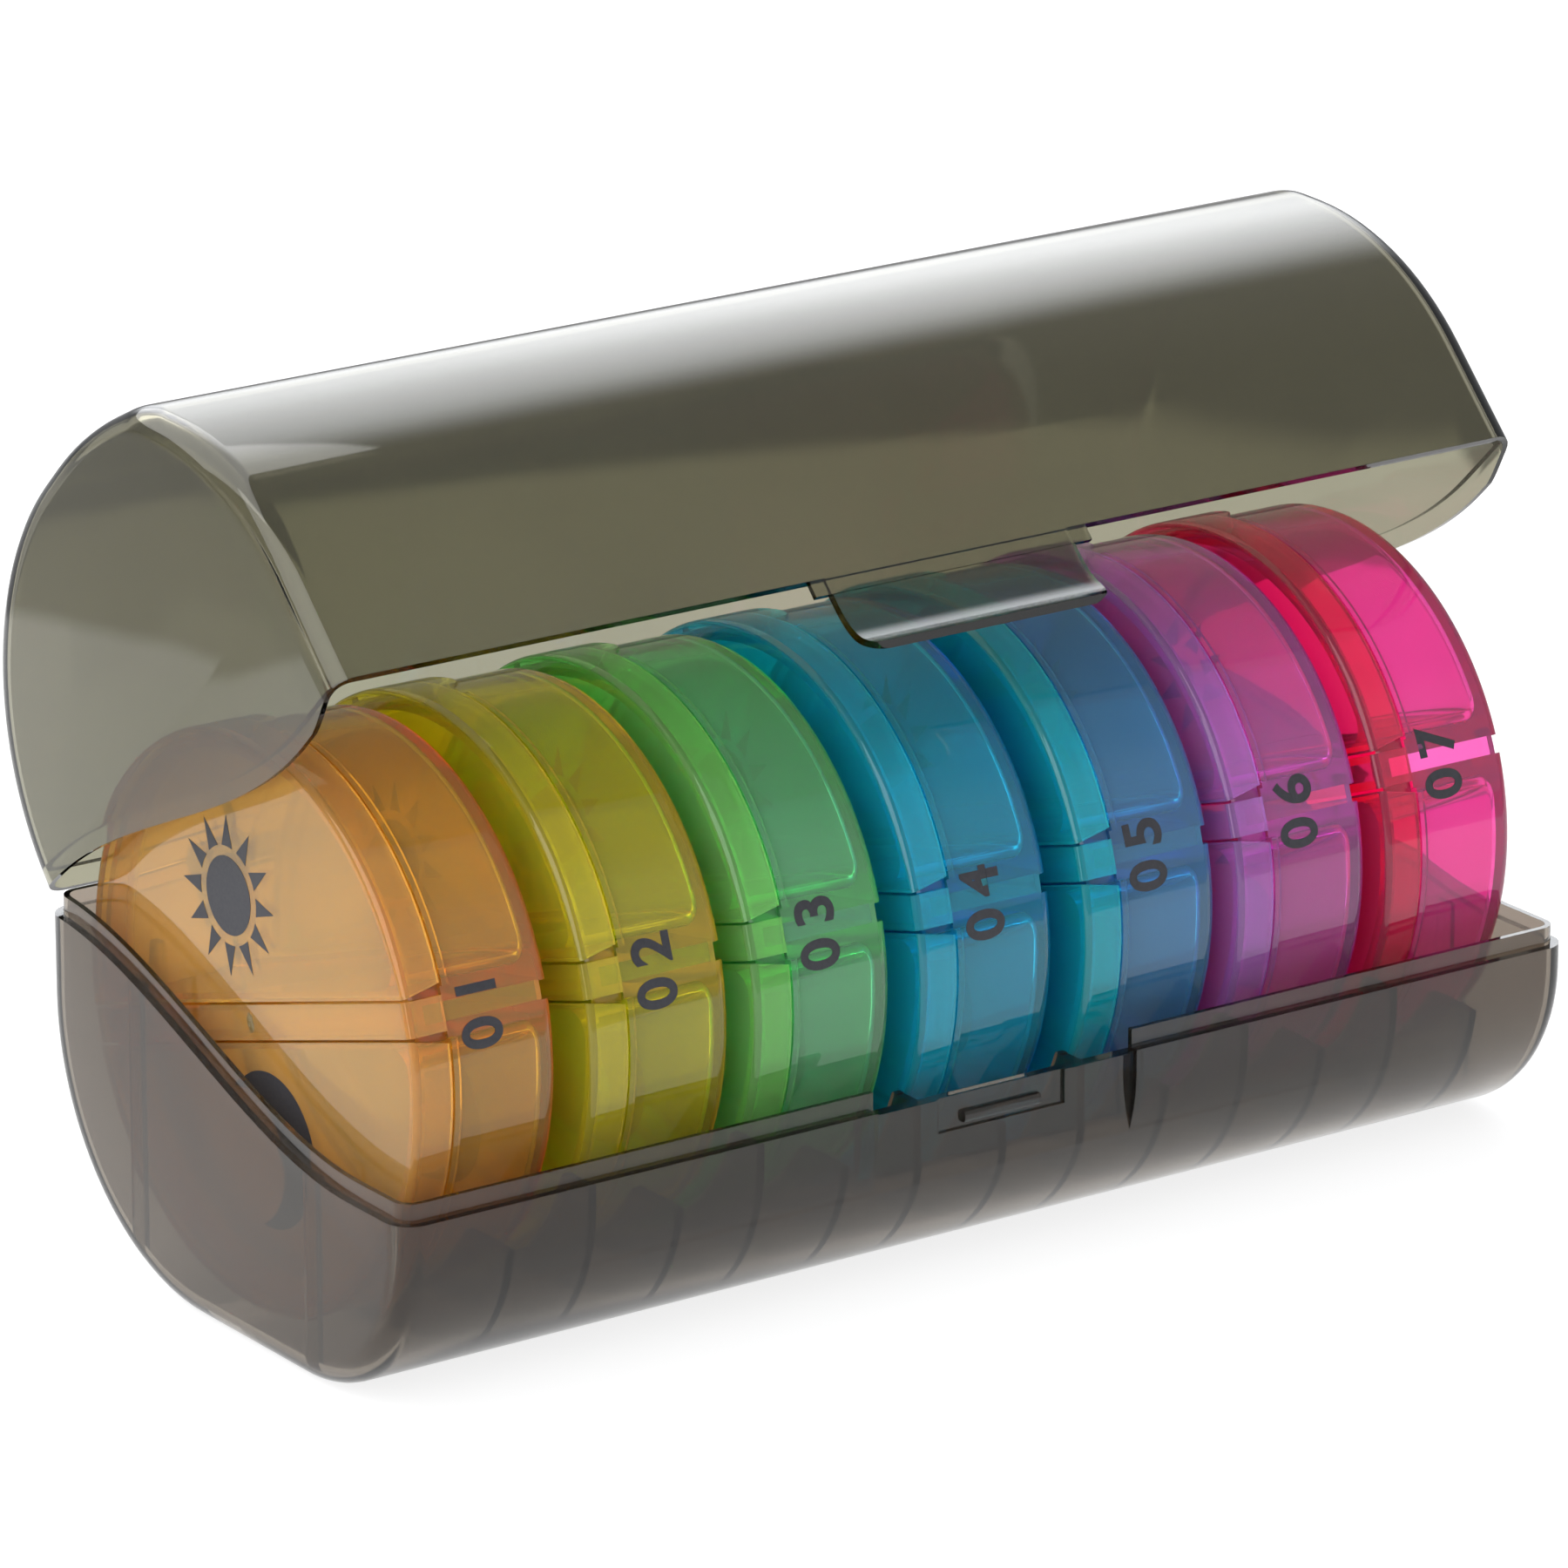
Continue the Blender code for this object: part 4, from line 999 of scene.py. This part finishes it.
def soft_spot(nodes, links, azimuth, elevation, spread, strength):
    """A round glow of the room in one direction seen from the case, fading out over spread degrees."""
    a, e = math.radians(azimuth), math.radians(elevation)
    place = nodes.new("ShaderNodeTexCoord")
    toward = nodes.new("ShaderNodeVectorMath")
    toward.operation = "DOT_PRODUCT"
    toward.inputs[1].default_value = (math.sin(a) * math.cos(e), -math.cos(a) * math.cos(e), math.sin(e))
    links.new(place.outputs["Generated"], toward.inputs[0])
    fade = nodes.new("ShaderNodeMapRange")
    fade.interpolation_type = "SMOOTHERSTEP"
    fade.inputs["From Min"].default_value = math.cos(math.radians(spread))
    fade.inputs["From Max"].default_value = 1
    fade.inputs["To Max"].default_value = strength
    links.new(toward.outputs["Value"], fade.inputs["Value"])
    return fade.outputs["Result"]


def add_world():
    """A plain room with soft glows, shown as white to the camera and through the plastic."""
    world = bpy.data.worlds.new("studio")
    bpy.context.scene.world = world
    world.use_nodes = True
    nodes, links = world.node_tree.nodes, world.node_tree.links
    nodes.clear()
    path = nodes.new("ShaderNodeLightPath")
    seen = nodes.new("ShaderNodeMath")
    seen.operation = "MAXIMUM"
    links.new(path.outputs["Is Camera Ray"], seen.inputs[0])
    links.new(path.outputs["Is Transmission Ray"], seen.inputs[1])
    white = nodes.new("ShaderNodeBackground")
    white.inputs["Color"].default_value = WHITE
    white.inputs["Strength"].default_value = 1
    room = nodes.new("ShaderNodeBackground")
    room.inputs["Color"].default_value = WORLD_COLOUR
    level = None
    for spot in WORLD_SPOTS:
        glow = soft_spot(nodes, links, *spot)
        total = nodes.new("ShaderNodeMath")
        total.operation = "ADD"
        total.inputs[1].default_value = WORLD_LEVEL
        links.new(glow, total.inputs[0])
        if level:
            links.new(level, total.inputs[1])
        level = total.outputs[0]
    links.new(level, room.inputs["Strength"])
    pick = nodes.new("ShaderNodeMixShader")
    links.new(seen.outputs[0], pick.inputs[0])
    links.new(room.outputs[0], pick.inputs[1])
    links.new(white.outputs[0], pick.inputs[2])
    out = nodes.new("ShaderNodeOutputWorld")
    links.new(pick.outputs[0], out.inputs["Surface"])


def add_softbox(name, azimuth, elevation):
    """A rectangular light that faces the case, placed by its direction seen from the case, in degrees."""
    a, e = math.radians(azimuth), math.radians(elevation)
    direction = Vector((math.sin(a) * math.cos(e), -math.cos(a) * math.cos(e), math.sin(e)))
    data = bpy.data.lights.new(name, "AREA")
    data.shape = "RECTANGLE"
    data.size = SOFTBOX_WIDTH
    data.size_y = SOFTBOX_HEIGHT
    data.energy = SOFTBOX_POWER
    light = add_object(name, data)
    aim = Vector((0, 0, BOX_AXIS_HEIGHT))
    light.location = aim + direction * SOFTBOX_DISTANCE
    light.rotation_euler = (-direction).to_track_quat("-Z", "Y").to_euler()


def add_camera():
    data = bpy.data.cameras.new("view")
    data.sensor_width = CAMERA_SENSOR
    data.lens = CAMERA_LENS
    data.clip_end = CAMERA_REACH
    camera = add_object("view", data)
    camera.location = CAMERA_PLACE
    camera.rotation_euler = (math.radians(90 - CAMERA_ELEVATION), 0, math.radians(CAMERA_AZIMUTH))
    bpy.context.scene.camera = camera


places = box_places()
add_camera()
add_floor()
add_world()
for name, azimuth, elevation in SOFTBOXES:
    add_softbox(name, azimuth, elevation)
build_boxes(places)
build_base(places, clear_plastic("smoke_base_plastic", BASE_TINT, SMOKE, *BASE_FINISH))
build_lid(clear_plastic("smoke_lid_plastic", LID_TINT, SMOKE, *LID_FINISH))
scene = bpy.context.scene
scene.view_settings.view_transform = "Standard"
scene.cycles.max_bounces = BOUNCES
scene.cycles.transmission_bounces = BOUNCES
scene.cycles.glossy_bounces = BOUNCES
